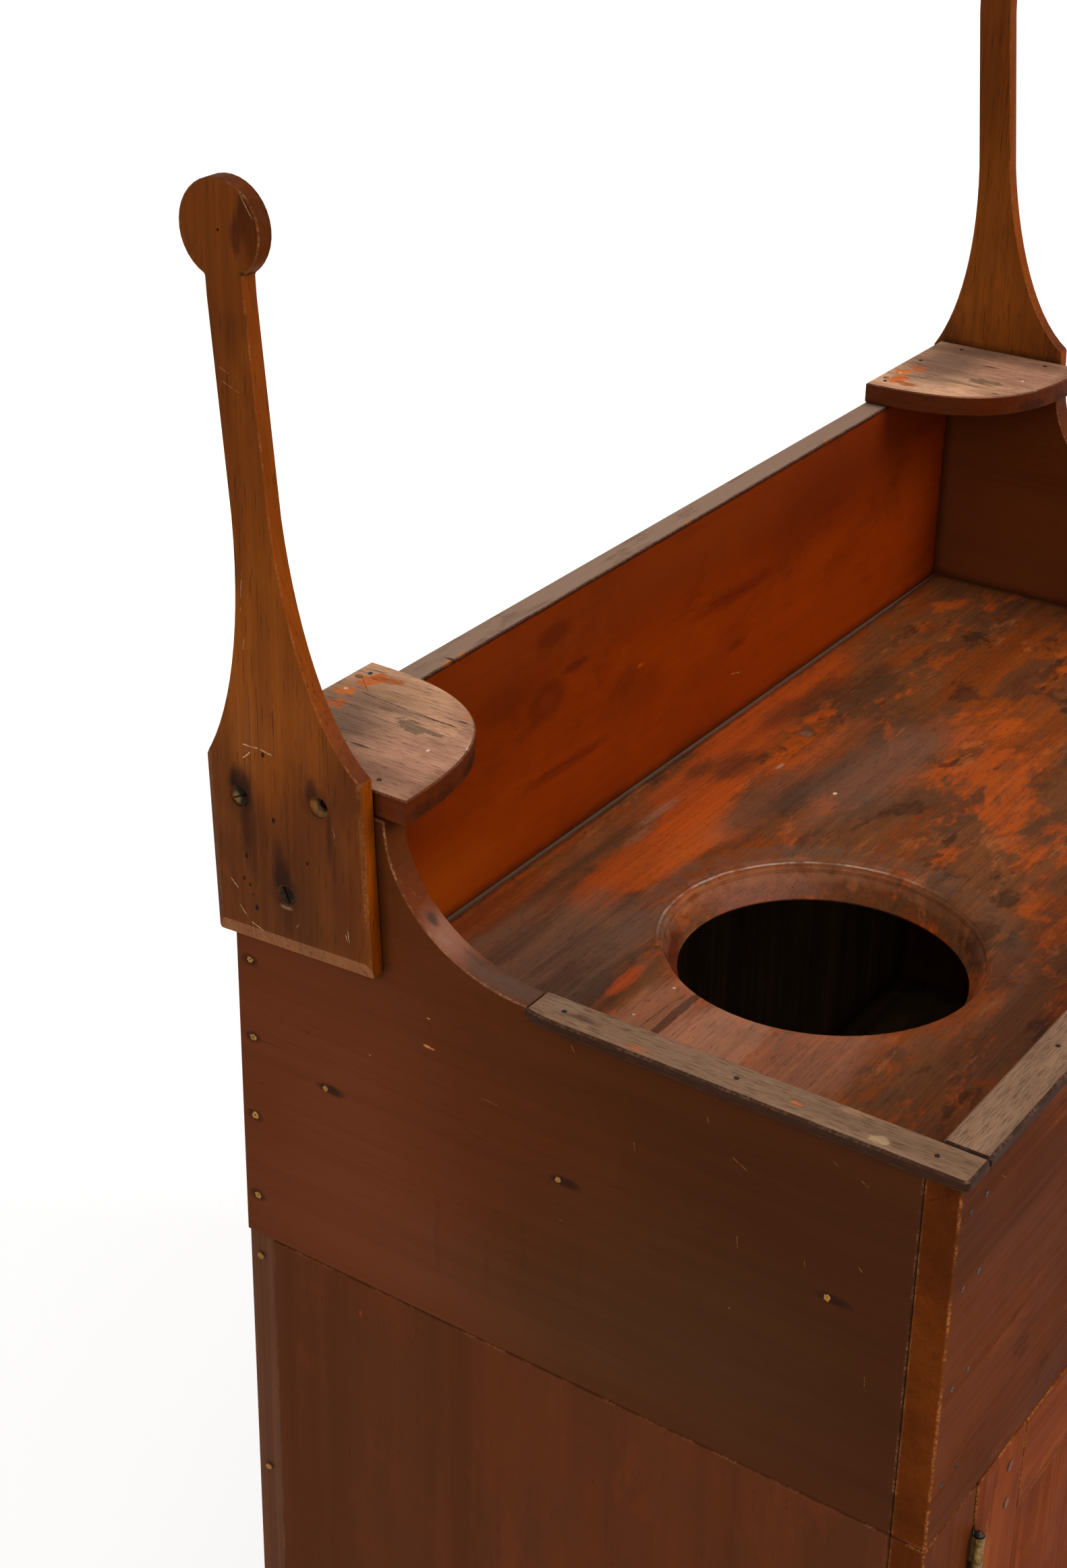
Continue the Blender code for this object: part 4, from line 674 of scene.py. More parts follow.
SPLASH_LINES = (
    (86.7, 733.5, 100, 730, 0.4, PALE, 70, 2, 50), (50, 799, 120, 792, 1.2, SPLASH_DARK, 60, 6, 40),
    (-180, 756, -75, 746.5, 1.2, SPLASH_DARK, 50, 6, 50), (-10, 806, 60, 801, 1, SPLASH_DARK, 40, 6, 50),
)


def splash_marks():
    """Marks on the splashboard's face, with a painted pool of light low on it and painted shadow by the
    corner shelves, the chips of its upper arris and the dark line below that.
    """
    sizes = ((-248.7, 5), (-234.9, 3.5), (20, 3), (210, 3))
    chips = [(x, size, 2, 1.6, (206, 110, 40), 90, 100, 40) for x, size in sizes]
    chips.append((-244.2, 1.2, 6, 2, SOOT, 90, 50, 40))
    edge = marks_on(splash_edge, chips, [(-410, 1.2, 410, 1.2, 2, (38, 16, 10), 85, 1, 20)])
    face = marks_on(splash_place, SPLASH_SPOTS, SPLASH_LINES)
    return {"spots": face["spots"], "lines": edge["lines"] + face["lines"], "late_spots": edge["spots"]}


SHELF_SPOTS = (
    (-375, 200, 50, 30, 20, (90, 66, 56), 75, 100, 70), (-385, 135, 40, 30, 20, (165, 112, 92), 60, 100, 80),
    (-330, 135, 30, 20, 20, (150, 104, 86), 50, 100, 70),
    (-412, 160, 14, 50, 20, (104, 72, 56), 60, 120, 60), (-395, 108, 30, 9, 20, (112, 68, 48), 60, 120, 60),
    (-320, 212.4, 9, 6, 20, (206, 106, 44), 95, 340, 10),
    (-314.1, 204, 4, 9, 20, (180, 90, 40), 85, 340, 10),
    (-338.9, 216.6, 5.6, 6, 20, (210, 114, 50), 90, 340, 10),
    (-352.3, 210.9, 5.6, 7, 20, (186, 94, 42), 80, 340, 10),
    (-335.4, 217.8, 1.2, 1.2, 20, (236, 200, 160), 90, 60, 30),
    (-330.5, 186.2, 3, 16, 20, (186, 140, 100), 60, 140, 40),
    (-340, 170, 3, 18, 20, (104, 80, 64), 40, 160, 45),
    (-350.9, 156.6, 6, 15, 20, (106, 84, 64), 75, 360, 10),
    (-346, 144, 4, 13, 20, (212, 158, 116), 60, 340, 12),
    (-338, 150, 4, 16, 20, (214, 160, 120), 45, 300, 15),
    (-324.4, 143.4, 1.6, 2.2, 20, (204, 120, 60), 80, 100, 40), (-386.2, 169, 1.2, 7, 20, SOOT, 75, 90, 40),
    (-388.1, 147.8, 2.2, 6, 20, (190, 146, 110), 45, 120, 50),
    (-377.9, 139.9, 2.2, 6, 20, (190, 146, 110), 45, 120, 50),
    (-370, 135.9, 1.3, 0.9, 20, (240, 224, 196), 95, 50, 30),
    (-356.1, 119, 1.6, 1.6, 1, (236, 214, 180), 90, 80, 30), (-332, 140, 0.7, 3, 20, SOOT, 80, 90, 40),
)
SHELF_LINES = (
    (-333.1, 212.8, -338.2, 170.2, 0.7, SOOT, 80, 3, 30),
    (-338.2, 170.2, -339.5, 138.4, 0.9, SOOT, 85, 3, 30), (-346, 172, -347, 146, 0.6, SOOT, 70, 3, 50),
    (-356, 180, -357, 150, 0.4, SOOT, 50, 2, 60), (-364, 170, -365, 130, 0.4, SOOT, 50, 2, 60),
    (-331, 206, -318, 220, 0.5, SOOT, 60, 2, 40),
)
SHELF_EDGES = [(x, y, 11, 13, 10, 5, (40, 15, 5), 60, 150, 50)
               for x, y in ((-410, 104.5), (-386, 104.5), (-352, 118))]

CAP_SPOTS = (
    (-412, 20, 6, 10, 20, (142, 116, 92), 60, 140, 50), (-405, -45, 5, 16, 20, (150, 100, 84), 65, 130, 50),
    (-419.3, -117.5, 2, 3, 20, (190, 104, 56), 80, 110, 40),
    (-409.2, -143.7, 3, 8, 20, (162, 118, 84), 50, 180, 30),
    (-422.6, -162.9, 2.6, 5, 10, (186, 152, 110), 60, 320, 12),
    (-424.7, -31.6, 3, 6, 10, (172, 92, 50), 65, 120, 50),
    (-417.5, -83.9, 1.6, 1.6, 20, (44, 34, 24), 60, 90, 40), (-418, 5, 2, 10, 20, (60, 44, 34), 60, 140, 50),
)
CAP_LINES = (
    (-426, -10, -426.2, -200, 0.7, (150, 122, 96), 60, 2, 50), (-412, 30, -414, -30, 0.4, SOOT, 50, 2, 60),
)


def front_scuffs(dice, reach_x, low, high, count=12):
    """Short thin scratches on the front, between two heights in metres."""
    lines = []
    for _ in range(count):
        x, z = dice.uniform(-reach_x, reach_x), dice.uniform(low, high)
        reach, angle = dice.uniform(0.006, 0.022), dice.uniform(-1.2, 1.2)
        end = (x + reach * math.cos(angle), FRONT_Y, z + reach * math.sin(angle))
        colour = dice.choice((PALE, (190, 126, 74), SOOT))
        lines.append(((x, FRONT_Y, z), end, dice.uniform(0.0002, 0.0004), colour, 0.6, 0.004, 0.7))
    return lines


def door_marks():
    """Grime round the knobs, rubbed places at the doors' edges and a few scratches."""
    dice = random.Random(23)
    thick = (DOOR_BACK_Y - FRONT_Y) * 1000
    rows = []
    for _, word in SIDES:
        low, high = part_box(word + "_knob")
        x, z = (low[0] + high[0]) * 500, (low[2] + high[2]) * 500
        rows += [(x, z, 40, 12, 50, (62, 26, 8), 62, 110, 70),
                 (x, z - 45, 12, 12, 30, (160, 84, 34), 45, 130, 60),
                 (x, z, thick, 30, 8, 30, (70, 32, 14), 55, 120, 60)]
    for x in (-345, -12, 12, 345):
        for _ in range(2):
            z = dice.uniform(150, 520)
            rows.append((x, z, dice.uniform(3, 6), 10, dice.uniform(12, 30), (164, 90, 38), 45, 220, 30))
    return {"spots": spots_on(front_place, rows), "lines": front_scuffs(dice, 0.35, 0.14, 0.58)}


# Dark and rubbed places of the case's front
CASE_SPOTS = (
    (0, 600, 200, 12, 18, (64, 26, 8), 45, 100, 70), (-100, 778, 160, 12, 12, (146, 72, 26), 45, 150, 50),
    (240, 780, 100, 12, 10, (150, 78, 30), 45, 160, 40), (160, 680, 60, 12, 30, (72, 30, 10), 45, 120, 70),
    (-260, 650, 70, 12, 20, (78, 32, 10), 40, 120, 70), (-390, 30, 50, 12, 40, (60, 28, 14), 65, 110, 70),
    (390, 30, 50, 12, 40, (60, 28, 14), 65, 110, 70), (100, 95, 120, 12, 10, (152, 80, 34), 45, 170, 40),
)


# Finishes of the nodes

def cap_wood(word, axis, offset, **marks):
    """Finish of a cap strip: grey on top, partly worn and partly a painted sheen, dark stain on the narrow
    faces and painted shadow on the faces that look down.
    """
    side_stain = ((46, 18, 2), 0.97)
    return wood(
        "cap_stain_" + word, axis, (120, 90, 67), (146, 110, 84), 0.5, offset, (6, 9, 0.15),
        pores=(1.15, 1500, 0.06, (64, 44, 31), 0.5), streaks=0.24, cloud=((130, 96, 72), 0.4), specular=0.08,
        patches=((45, 0.52, 0.66, 0.25, (100, 72, 54), 0.4, 2.9),
                 (70, 0.58, 0.68, 0.3, (166, 126, 98), 0.3, 6.1)),
        # The low layer is painted shadow on the underside.
        front=side_stain, end=side_stain, low=((30, 13, 6), 0.9),
        edge=((150, 112, 88), 0.28, 0.0007, ACROSS_Z), dirt_and_shade=(0.6, 0.006), **marks)


def make_side_finishes(side, word):
    """Materials of the pieces that have one on the left and one on the right, by surface."""
    shelf_stain = ((86, 30, 0), 0.98)
    return {
        "arm_" + word: wood(
            "arm_stain_" + word, "z", (106, 52, 14), (124, 63, 17), 0.44, (side * 0.3, 0.11, 0.05),
            (7, 9, 0.15), pores=(0.75, 760, 0.05, (62, 28, 9), 0.55), cloud=((100, 48, 12), 0.5),
            patches=((24, 0.48, 0.64, 0.45, (80, 40, 16), 0.5, 2.1),
                     (70, 0.52, 0.66, 0.22, (70, 35, 14), 0.45, 6.4),
                     (34, 0.54, 0.68, 0.4, (142, 76, 22), 0.4, 9.3),
                     (9, 0.5, 0.66, 0.6, (92, 40, 8), 0.4, 4.2)),
            # The low layer is a painted reflection: the faces that look down, such as the bevel under the
            # block, are paler.
            top=((98, 48, 26), 0.85), low=((150, 96, 60), 0.62), front=((134, 60, 3), 0.92),
            edge=((182, 120, 72), 0.34, 0.0008, ACROSS_X), relief=0.7, **arm_marks(side)),
        "end_" + word: wood(
            "end_board_stain_" + word, "y", (84, 38, 10), (96, 44, 12), 0.46, (side * 0.4, 0.2, 0.3),
            (8, 5, 0.2), pores=(0.15,), streaks=0.1, cloud=((76, 36, 11), 0.5), top=((112, 47, 13), 0.94),
            top_patches=((60, 0.54, 0.66, 0.5, (140, 88, 62), 0.35, 5.5),
                         (120, 0.56, 0.68, 0.5, (70, 36, 20), 0.6, 8.8),
                         (260, 0.5, 0.62, 0.4, (84, 48, 32), 0.45, 2.8)),
            patches=((16, 0.52, 0.72, 0.6, (72, 36, 12), 0.35, 3.1),
                     (9, 0.5, 0.7, 0.8, (100, 50, 16), 0.3, 7.7)),
            edge=((190, 134, 94), 0.42, 0.0006, ACROSS_X), dirt_and_shade=(0.6, 0.008), relief=0.2, **end_marks(side)),
        # The shelf's pale base colour on its top is partly wear and partly a painted sheen. Its low layer is
        # painted shade on the faces that look down.
        "shelf_" + word: wood(
            "shelf_stain_" + word, "y", (184, 134, 98), (230, 176, 138), 0.46, (side * 0.2, 0.5, 0.1),
            (8, 7, 0.15),
            pores=(0.95, 2000, 0.05, (84, 56, 40), 0.65), streaks=0.22, cloud=((210, 158, 122), 0.4),
            specular=0.05,
            patches=((20, 0.5, 0.66, 0.35, (132, 94, 70), 0.45, 1.7),
                     (80, 0.54, 0.66, 0.1, (118, 82, 60), 0.35, 4.9)),
            front=shelf_stain, end=shelf_stain, low=((70, 26, 5), 0.9),
            edge=((198, 152, 120), 0.14, 0.0009, ACROSS_Z),
            relief=1.3, **marks_on(partial(shelf_place, side=side), SHELF_SPOTS, SHELF_LINES,
                                   late_spots=SHELF_EDGES)),
        "cap_" + word: cap_wood(word, "y", (side * 0.7, 0.1, 0.2),
                                **marks_on(partial(cap_place, side=side), CAP_SPOTS, CAP_LINES)),
    }


def make_frame_finishes(axis, case_offset):
    """Materials of the case, the doors and the bare inner boards for one direction of the grain."""
    return {
        "case_" + axis: wood(
            "case_stain_" + axis, axis, (84, 37, 9), (106, 48, 12), 0.44, case_offset, (10, 5, 0.35),
            pores=(0.5, 800, 0.05, (40, 18, 8), 0.45), streaks=0.18, cloud=((82, 36, 9), 0.5), specular=0.01,
            patches=((8, 0.48, 0.68, 0.5, (70, 30, 8), 0.55, 2.7),
                     (34, 0.56, 0.68, 0.35, (134, 64, 18), 0.35, 5.1),
                     (70, 0.58, 0.68, 0.3, (58, 24, 8), 0.45, 8.3)),
            back=((104, 64, 36), 0.7), edge=((186, 116, 62), 0.7, 0.0016), dirt_and_shade=(0.7, 0.012), relief=0.6,
            spots=spots_on(front_place, CASE_SPOTS), lines=front_scuffs(random.Random(31), 0.4, 0.6, 0.78)),
        "door_" + axis: wood(
            "door_stain_" + axis, axis, (108, 44, 8), (136, 60, 13), 0.42, (0.2, 0.4, 0.9), (11, 6, 0.4),
            pores=(0.5, 800, 0.05, (40, 18, 8), 0.4), streaks=0.18, cloud=((100, 40, 8), 0.5), specular=0.01,
            patches=((9, 0.48, 0.68, 0.5, (84, 34, 8), 0.55, 4.7),
                     (36, 0.56, 0.68, 0.35, (156, 78, 22), 0.35, 1.1),
                     (70, 0.58, 0.68, 0.3, (66, 28, 8), 0.45, 6.3)),
            back=((122, 74, 40), 0.6), edge=((196, 124, 64), 0.7, 0.0016), dirt_and_shade=(0.8, 0.014, (40, 16, 6)),
            relief=0.6, **door_marks()),
        "raw_" + axis: wood(
            "raw_pine_" + axis, axis, (118, 84, 52), (162, 124, 82), 0.72, (0.5, 0.2, 0.7), (10, 5, 0.5),
            pores=(0.5, 900, 0.13, (74, 48, 28)), streaks=0.25, cloud=((104, 76, 50), 0.5), specular=0.2,
            end=((94, 50, 26), 0.95) if axis == "z" else None, edge=((176, 140, 98), 0.5, 0.0014),
            dirt_and_shade=(0.7, 0.03, (44, 30, 20))),
    }


def make_finishes():
    """Every material, by the name of the surface that it is made for."""
    made = {}
    for side, word in SIDES:
        made.update(make_side_finishes(side, word))
    made["bowl"] = wood(
        "bowl_board_stain", "x", (128, 56, 12), (156, 72, 18), 0.46, (0.1, 0.6, 0.2), (9, 5, 0.2),
        pores=(0.8, 1300, 0.08, (60, 34, 20), 0.55), streaks=0.26, cloud=((128, 68, 28), 0.3), specular=0.1,
        patches=((11, 0.47, 0.56, 0.5, (112, 68, 36), 0.8, 2.3),
                 (16, 0.52, 0.58, 0.45, (86, 56, 36), 0.65, 5.9),
                 (14, 0.54, 0.61, 0.5, (186, 80, 20), 0.8, 8.2),
                 (26, 0.56, 0.63, 0.55, (60, 34, 18), 0.7, 4.4),
                 (48, 0.55, 0.63, 0.3, (84, 44, 22), 0.5, 1.2),
                 (120, 0.5, 0.62, 0.22, (104, 60, 36), 0.42, 3.7),
                 (60, 0.58, 0.68, 0.28, (190, 104, 52), 0.45, 7.1)),
        # The wide outer ring is worn grey. The three inner ones paint the highlight on the far rim and the
        # glare on the hole's wall, over partly worn wood.
        hole_rings=((0.113, 0.012, (112, 86, 68), 0.5, 0.5), (0.103, 0.004, (150, 104, 80), 0.45, 0.1),
                    (0.0945, 0.0035, (166, 104, 70), 0.6, 0.4), (0.099, 0.0012, (206, 180, 160), 0.62, 0.0)),
        dirt_and_shade=(0.7, 0.01), relief=0.8, **marks_on(board_place, BOWL_SPOTS, BOWL_LINES))
    made["splash"] = wood(
        "splash_stain", "x", (120, 40, 1), (138, 48, 1), 0.4, (0.9, 0.3, 0.7), (9, 4.5, 0.25),
        pores=(0.1, 900, 0.13, (70, 22, 8), 0.4), streaks=0.06, cloud=((112, 36, 1), 0.4),
        patches=((14, 0.5, 0.66, 0.7, (104, 34, 2), 0.6, 6.3), (34, 0.55, 0.68, 0.6, (92, 30, 3), 0.4, 9.7),
                 (22, 0.56, 0.7, 0.7, (148, 56, 4), 0.35, 3.3)),
        # On its top edge the splashboard is pale grey: partly wear and partly a painted sheen.
        top_patches=((90, 0.54, 0.66, 0.2, (112, 80, 62), 0.55, 2.2),), top=((148, 118, 98), 0.97),
        back=((112, 78, 50), 0.94), edge=((170, 104, 60), 0.45, 0.001, ACROSS_Z),
        dirt_and_shade=(0.6, 0.007, (52, 18, 4)), relief=0.3, **splash_marks())
    made.update(make_frame_finishes("x", (0.3, 0.8, 0.1)))
    made.update(make_frame_finishes("z", (0.6, 0.1, 0.4)))
    made["cap_front"] = cap_wood("front", "x", (0.7, 0.1, 0.2))
    made["panel"] = wood(
        "end_panel_stain", "z", (86, 42, 19), (101, 50, 23), 0.46, (0.2, 0.7, 0.5), (7, 5, 0.1), pores=(0.3,),
        streaks=0.05, cloud=((84, 46, 26), 0.6), specular=0.02, edge=((160, 96, 56), 0.5, 0.0014), relief=0.3,
        patches=((10, 0.5, 0.68, 0.6, (76, 44, 26), 0.5, 3.9),
                 (30, 0.56, 0.68, 0.5, (116, 54, 28), 0.35, 7.1)),
        spots=spots_on(metres, ((-425, 144.6, 543.4, 10, 1, 2.2, (150, 64, 34), 50, 100, 40),
                                (-425, 150, 20, 50, 120, 50, (60, 28, 16), 60, 100, 80),
                                (425, 150, 20, 50, 120, 50, (60, 28, 16), 60, 100, 80))))
    made["knob"] = wood(
        "knob_stain", "y", (78, 36, 10), (118, 58, 18), 0.36, (0.3, 0.3, 0.1), (16, 14, 0.4), pores=(0.3,),
        cloud=((70, 32, 10), 0.4), specular=0.12, edge=((160, 96, 48), 0.5, 0.0016), dirt_and_shade=(0.7, 0.006))
    made["peg"] = wood(
        "peg_stain", "y", (70, 28, 10), (112, 50, 18), 0.45, (0.1, 0.9, 0.4), (30, 40, 0.4),
        pores=(0.8, 900, 0.13, (40, 18, 8), 0.7), streaks=0.45, specular=0.2,
        edge=((150, 90, 50), 0.8, 0.0006), dirt_and_shade=(0.5, 0.002))
    made["putty"] = wood(
        "putty", "x", (124, 80, 34), (190, 136, 64), 0.85, (0.4, 0.4, 0.4), (40, 60, 0.2),
        pores=(0.6, 900, 0.13, (96, 60, 30)), streaks=0.45, cloud=((150, 104, 50), 0.4), specular=0.2,
        edge=((206, 160, 92), 0.8, 0.0005), dirt_and_shade=(0.6, 0.0015), relief=2.0, dull_top=0.0)
    # Painted light and shadow on the arms' screw heads: the dark rows are painted shadow on the heads and in
    # their recesses, and the pale row is painted light on the lower side of the upper head.
    screw_light_and_shadow = []
    for side, _ in SIDES:
        screw_light_and_shadow += spots_on(partial(arm_place, side=side), (
            (25, 86.5, 10, 4.8, 4.2, (20, 12, 8), 90, 80, 40),
            (19, 81.5, 10, 2.6, 3.4, (132, 108, 66), 70, 90, 50),
            (50.5, 34, 10, 5.2, 4, (30, 20, 13), 80, 80, 40)))
    made["iron"] = plain_metal("old_iron", (34, 26, 22), (86, 74, 66), 0.5, (70, 36, 20), 0.6)
    made["screw_iron"] = plain_metal("screw_iron", (42, 33, 21), (72, 58, 36), 0.7, (30, 20, 12), 0.75,
                                     metallic=0.0, specular=0.06, spots=screw_light_and_shadow)
    made["brass"] = plain_metal("old_brass", (96, 72, 34), (152, 120, 62), 0.42, (70, 50, 26), 0.5)
    return made


FINISHES = make_finishes()

# The finish of the nodes whose names start so, and with the side's word after it where it ends in _
NODE_FINISHES = (
    ("bowl_board", "bowl"), ("splashboard", "splash"), ("front_board|bottom_rail", "case_x"),
    ("face_stile", "case_z"), (".*knob|left_button|right_latch_bar", "knob"),
    ("bottom_board|inner_shelf", "raw_x"), ("corner_block|back_board", "raw_z"), ("end_panel", "panel"),
    ("arm_screw", "screw_iron"), ("button_screw|.*pin", "iron"), (".*leaf", "brass"), (".*rail", "door_x"),
    (".*door", "door_z"), ("cap_front", "cap_front"), ("cap", "cap_"), ("end_board", "end_"),
    ("corner_shelf", "shelf_"), ("towel_arm", "arm_"),
)


def finish_of(node):
    """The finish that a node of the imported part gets."""
    finish = next(finish for start, finish in NODE_FINISHES if re.match(start, node))
    return finish + ("right" if "right" in node else "left") if finish.endswith("_") else finish


def paint_nodes():
    """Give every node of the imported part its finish."""
    for name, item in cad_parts.items():
        material = FINISHES[finish_of(name)]
        if not item.material_slots:
            item.data.materials.append(material)
        for slot in item.material_slots:
            slot.link = "OBJECT"
            slot.material = material


# Small fasteners

# Nail heads and spots of putty: radius and height in metres, how hollow they are, and their sides
END_NAIL_PUTTY, END_HOLE_PUTTY = (0.0022, 0.0003, 0.8), (0.0019, 0.00035, 0.7)
SHELF_PUTTY, LOW_PUTTY, PANEL_PUTTY = (0.0021, 0.0005, 0.5), (0.0019, 0.0003, 0.6), (0.002, 0.0003, 0.6)
SHELF_NAIL, FRONT_NAIL = (0.0016, 0.00025, 0.5, 10), (0.0018, 0.00025, 0.6, 12)
CAP_NAIL, FRONT_CAP_NAIL = (0.0014, 0.00025, 0.4, 10), (0.0014, 0.00025, 0.3, 10)
BACK_NAIL, BOWL_BOARD_NAIL = (0.0019, 0.0004, 0.3, 10), (0.0018, 0.0003, 0.3, 10)
# Pegs: how far they sit from the stile's middle and from the rail's, and their ends' radius and height
PEG_INSET, PEG_SHIFT = 0.012, 0.013
PEG_FRONT, PEG_BACK = (0.0034, 0.0005), (0.003, 0.0004)
# Hinge screws: the bare face of each kind of leaf, and every screw's height on the leaf and its depth
FRAME_LEAF_X, DOOR_LEAF_X = 0.365, 0.3626
LEAF_SCREWS = ((-0.018, 0.0065), (0.0, 0.01), (0.018, 0.0065))


def facing(point, direction):
    """Frame at a point whose z axis looks along direction."""
    spin = Vector((0, 0, 1)).rotation_difference(Vector(direction)).to_matrix().to_4x4()
    return Matrix.Translation(point) @ spin


def on_circle(radius, turns):
    """Point on a circle as x and y, after a part of a full turn."""
    return radius * math.cos(2 * math.pi * turns), radius * math.sin(2 * math.pi * turns)


def add_rings(bm, rings, matrix):
    """Join rings of (x, y, z) points into one closed body."""
    made = [[bm.verts.new(matrix @ Vector(point)) for point in ring] for ring in rings]
    bm.faces.new(list(reversed(made[0])))
    bm.faces.new(made[-1])
    count = len(made[0])
    for lower, upper in zip(made, made[1:]):
        for index in range(count):
            after = (index + 1) % count
            bm.faces.new((lower[index], lower[after], upper[after], upper[index]))


def add_lump(bm, dice, point, direction, radius, proud, dish=0.3, sides=16, sunk=0.0006):
    """A spot of putty or a nail head: an uneven disc, a little hollow in the middle."""
    shape = [1 + dice.uniform(-0.26, 0.26) for _ in range(sides)]
    rings = []
    for share, height in ((1.0, -sunk), (1.0, proud * 0.3), (0.9, proud), (0.66, proud * 0.92),
                          (0.4, proud * (1 - dish)), (0.18, proud * (1 - 1.4 * dish))):
        ring = []
        for index in range(sides):
            reach = radius * share * (1 + (shape[index] - 1) * share)
            lift = height + (proud * dice.uniform(-0.12, 0.12) if share < 1 else 0)
            ring.append((*on_circle(reach, index / sides), lift))
        rings.append(ring)
    add_rings(bm, rings, facing(point, direction))


def add_slotted_head(bm, dice, point, direction, radius=0.0025, proud=0.00018, sunk=0.0006, sides=10):
    """A flat screw head: two halves that stand on a lower disc, with the slot between them."""
    matrix = facing(point, direction) @ Matrix.Rotation(dice.uniform(0, math.pi), 4, "Z")
    half_slot = radius * 0.13
    floor = [on_circle(radius * 0.98, index / (2 * sides)) for index in range(2 * sides)]
    add_rings(bm, [[(x, y, height) for x, y in floor] for height in (-sunk, proud * 0.25)], matrix)
    first = math.asin(half_slot / radius)
    for way in (1, -1):
        outline = []
        for index in range(sides + 1):
            angle = first + (math.pi - 2 * first) * index / sides
            outline.append((way * radius * math.cos(angle), way * radius * math.sin(angle)))
        rings = []
        for height, share in ((-sunk, 1.0), (proud * 0.75, 1.0), (proud, 0.94)):
            rings.append([(x * share, max(abs(y) * share, half_slot) * way, height) for x, y in outline])
        add_rings(bm, rings, matrix)


def add_peg(bm, dice, point, direction, radius, proud, sunk=0.001, sides=8):
    """The end of a riven peg: eight uneven sides and a slightly rounded end."""
    corners = []
    for index in range(sides):
        turns = (index + dice.uniform(-0.14, 0.14)) / sides
        corners.append(on_circle(radius * dice.uniform(0.9, 1.06), turns))
    tilt = dice.uniform(-0.05, 0.05)
    rings = []
    for height, share in ((-sunk, 1.0), (proud * 0.5, 1.0), (proud * 0.9, 0.93), (proud, 0.7)):
        rings.append([(x * share, y * share, height + tilt * x * (height > 0)) for x, y in corners])
    add_rings(bm, rings, facing(point, direction))


def finish_piece(name, bm, finish, body):
    """Turn a bmesh into a piece that rides on a body and takes its finish from a slot."""
    bmesh.ops.recalc_face_normals(bm, faces=bm.faces)
    mesh = bpy.data.meshes.new(name)
    bm.to_mesh(mesh)
    bm.free()
    mesh.shade_smooth()
    mesh.set_sharp_from_angle(angle=math.radians(40))
    mesh.materials.append(FINISHES[finish])
    piece = bpy.data.objects.new(name, mesh)
    bpy.context.scene.collection.objects.link(piece)
    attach(piece, body)


def put_lumps(name, finish, dice, lumps):
    """Nail heads or putty spots on the case, each (point, direction, radius, proud, dish, sides)."""
    bm = bmesh.new()
    for lump in lumps:
        add_lump(bm, dice, *lump)
    finish_piece(name, bm, finish, "case")


def back_nail_lumps(dice):
    """Nails of the back boards, each placed a little off its row just before its head is made."""
    for index in (1, 2, 3):
        low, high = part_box("back_board_" + str(index))
        for z in (0.078, 0.12, 0.318, 0.545):
            for inset in (0.035, 0.142, 0.248):
                place = (low[0] + inset, high[1], z + dice.uniform(-0.004, 0.004))
                yield place, BACKWARD, *BACK_NAIL
    for x in (-0.36, -0.24, -0.12, 0.0, 0.12, 0.24, 0.36):
        yield (x, BACK_Y, 0.6885), BACKWARD, *BOWL_BOARD_NAIL


def make_nails(dice):
    """Nails and putty of the upper case, the shelves, the caps and the back."""
    for side, word in SIDES:
        out = (side, 0, 0)
        lumps = [(end_place(*spot, side), out, *END_NAIL_PUTTY) for spot in END_NAILS]
        lumps += [(end_place(*spot, side), out, *END_HOLE_PUTTY) for spot in END_PUTTY]
        put_lumps("end_putty_" + word, "putty", dice, lumps)
        lumps = [(shelf_place(x, y, side=side), UPWARD, *SHELF_NAIL)
                 for x, y in ((-411.4, 136.7), (-412, 205), (-312, 218.5), (-370, 218.5))]
        lumps += [(cap_place(-417.5, y, side), UPWARD, *CAP_NAIL) for y in (-83.9, -190, 16)]
        put_lumps("top_nails_" + word, "iron", dice, lumps)
        lumps = [(shelf_place(-318.9, 221.2, side=side), UPWARD, *SHELF_PUTTY)]
        put_lumps("shelf_putty_" + word, "putty", dice, lumps)
    cap_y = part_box("cap_front")[1][1] - 0.011
    lumps = [((x, cap_y, CAP_TOP), UPWARD, *FRONT_CAP_NAIL) for x in (-0.3, -0.1, 0.1, 0.3)]
    lumps += [(front_place(x, z), FORWARD, *FRONT_NAIL)
              for x in (-413, -396, 396, 413) for z in (600, 660, 720, 765)]
    put_lumps("front_nails", "iron", dice, lumps)
    put_lumps("back_nails", "iron", dice, back_nail_lumps(dice))
    lumps = []
    for side, _ in SIDES:
        out = (side, 0, 0)
        for z in (40, 200, 360, 520):
            lumps += [(front_place(side * 416, z), FORWARD, *LOW_PUTTY),
                      (end_place(218.5, z + 30, side), out, *LOW_PUTTY)]
        lumps += [(end_place(y, z, side), out, *PANEL_PUTTY) for z in (119, 317) for y in (-150, 0, 150)]
    put_lumps("lower_putty", "putty", dice, lumps)


def make_pegs(dice):
    """Pegs of the doors' mortise and tenon joints, front and back."""
    for _, word in SIDES:
        bm = bmesh.new()
        for stile in ("hinge", "lock"):
            low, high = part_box(word + "_door_" + stile + "_stile")
            inward = PEG_INSET if (abs(low[0]) > abs(high[0])) == (stile == "hinge") else -PEG_INSET
            for rail in ("top", "bottom"):
                bottom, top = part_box(word + "_door_" + rail + "_rail")
                for shift in (-PEG_SHIFT, PEG_SHIFT):
                    x = (low[0] + high[0]) / 2 + dice.uniform(-0.001, 0.001) + inward
                    z = (bottom[2] + top[2]) / 2 + shift
                    add_peg(bm, dice, (x, FRONT_Y, z), FORWARD, *PEG_FRONT)
                    add_peg(bm, dice, (x, DOOR_BACK_Y, z), BACKWARD, *PEG_BACK)
        finish_piece(word + "_door_pegs", bm, "peg", word + "_door")


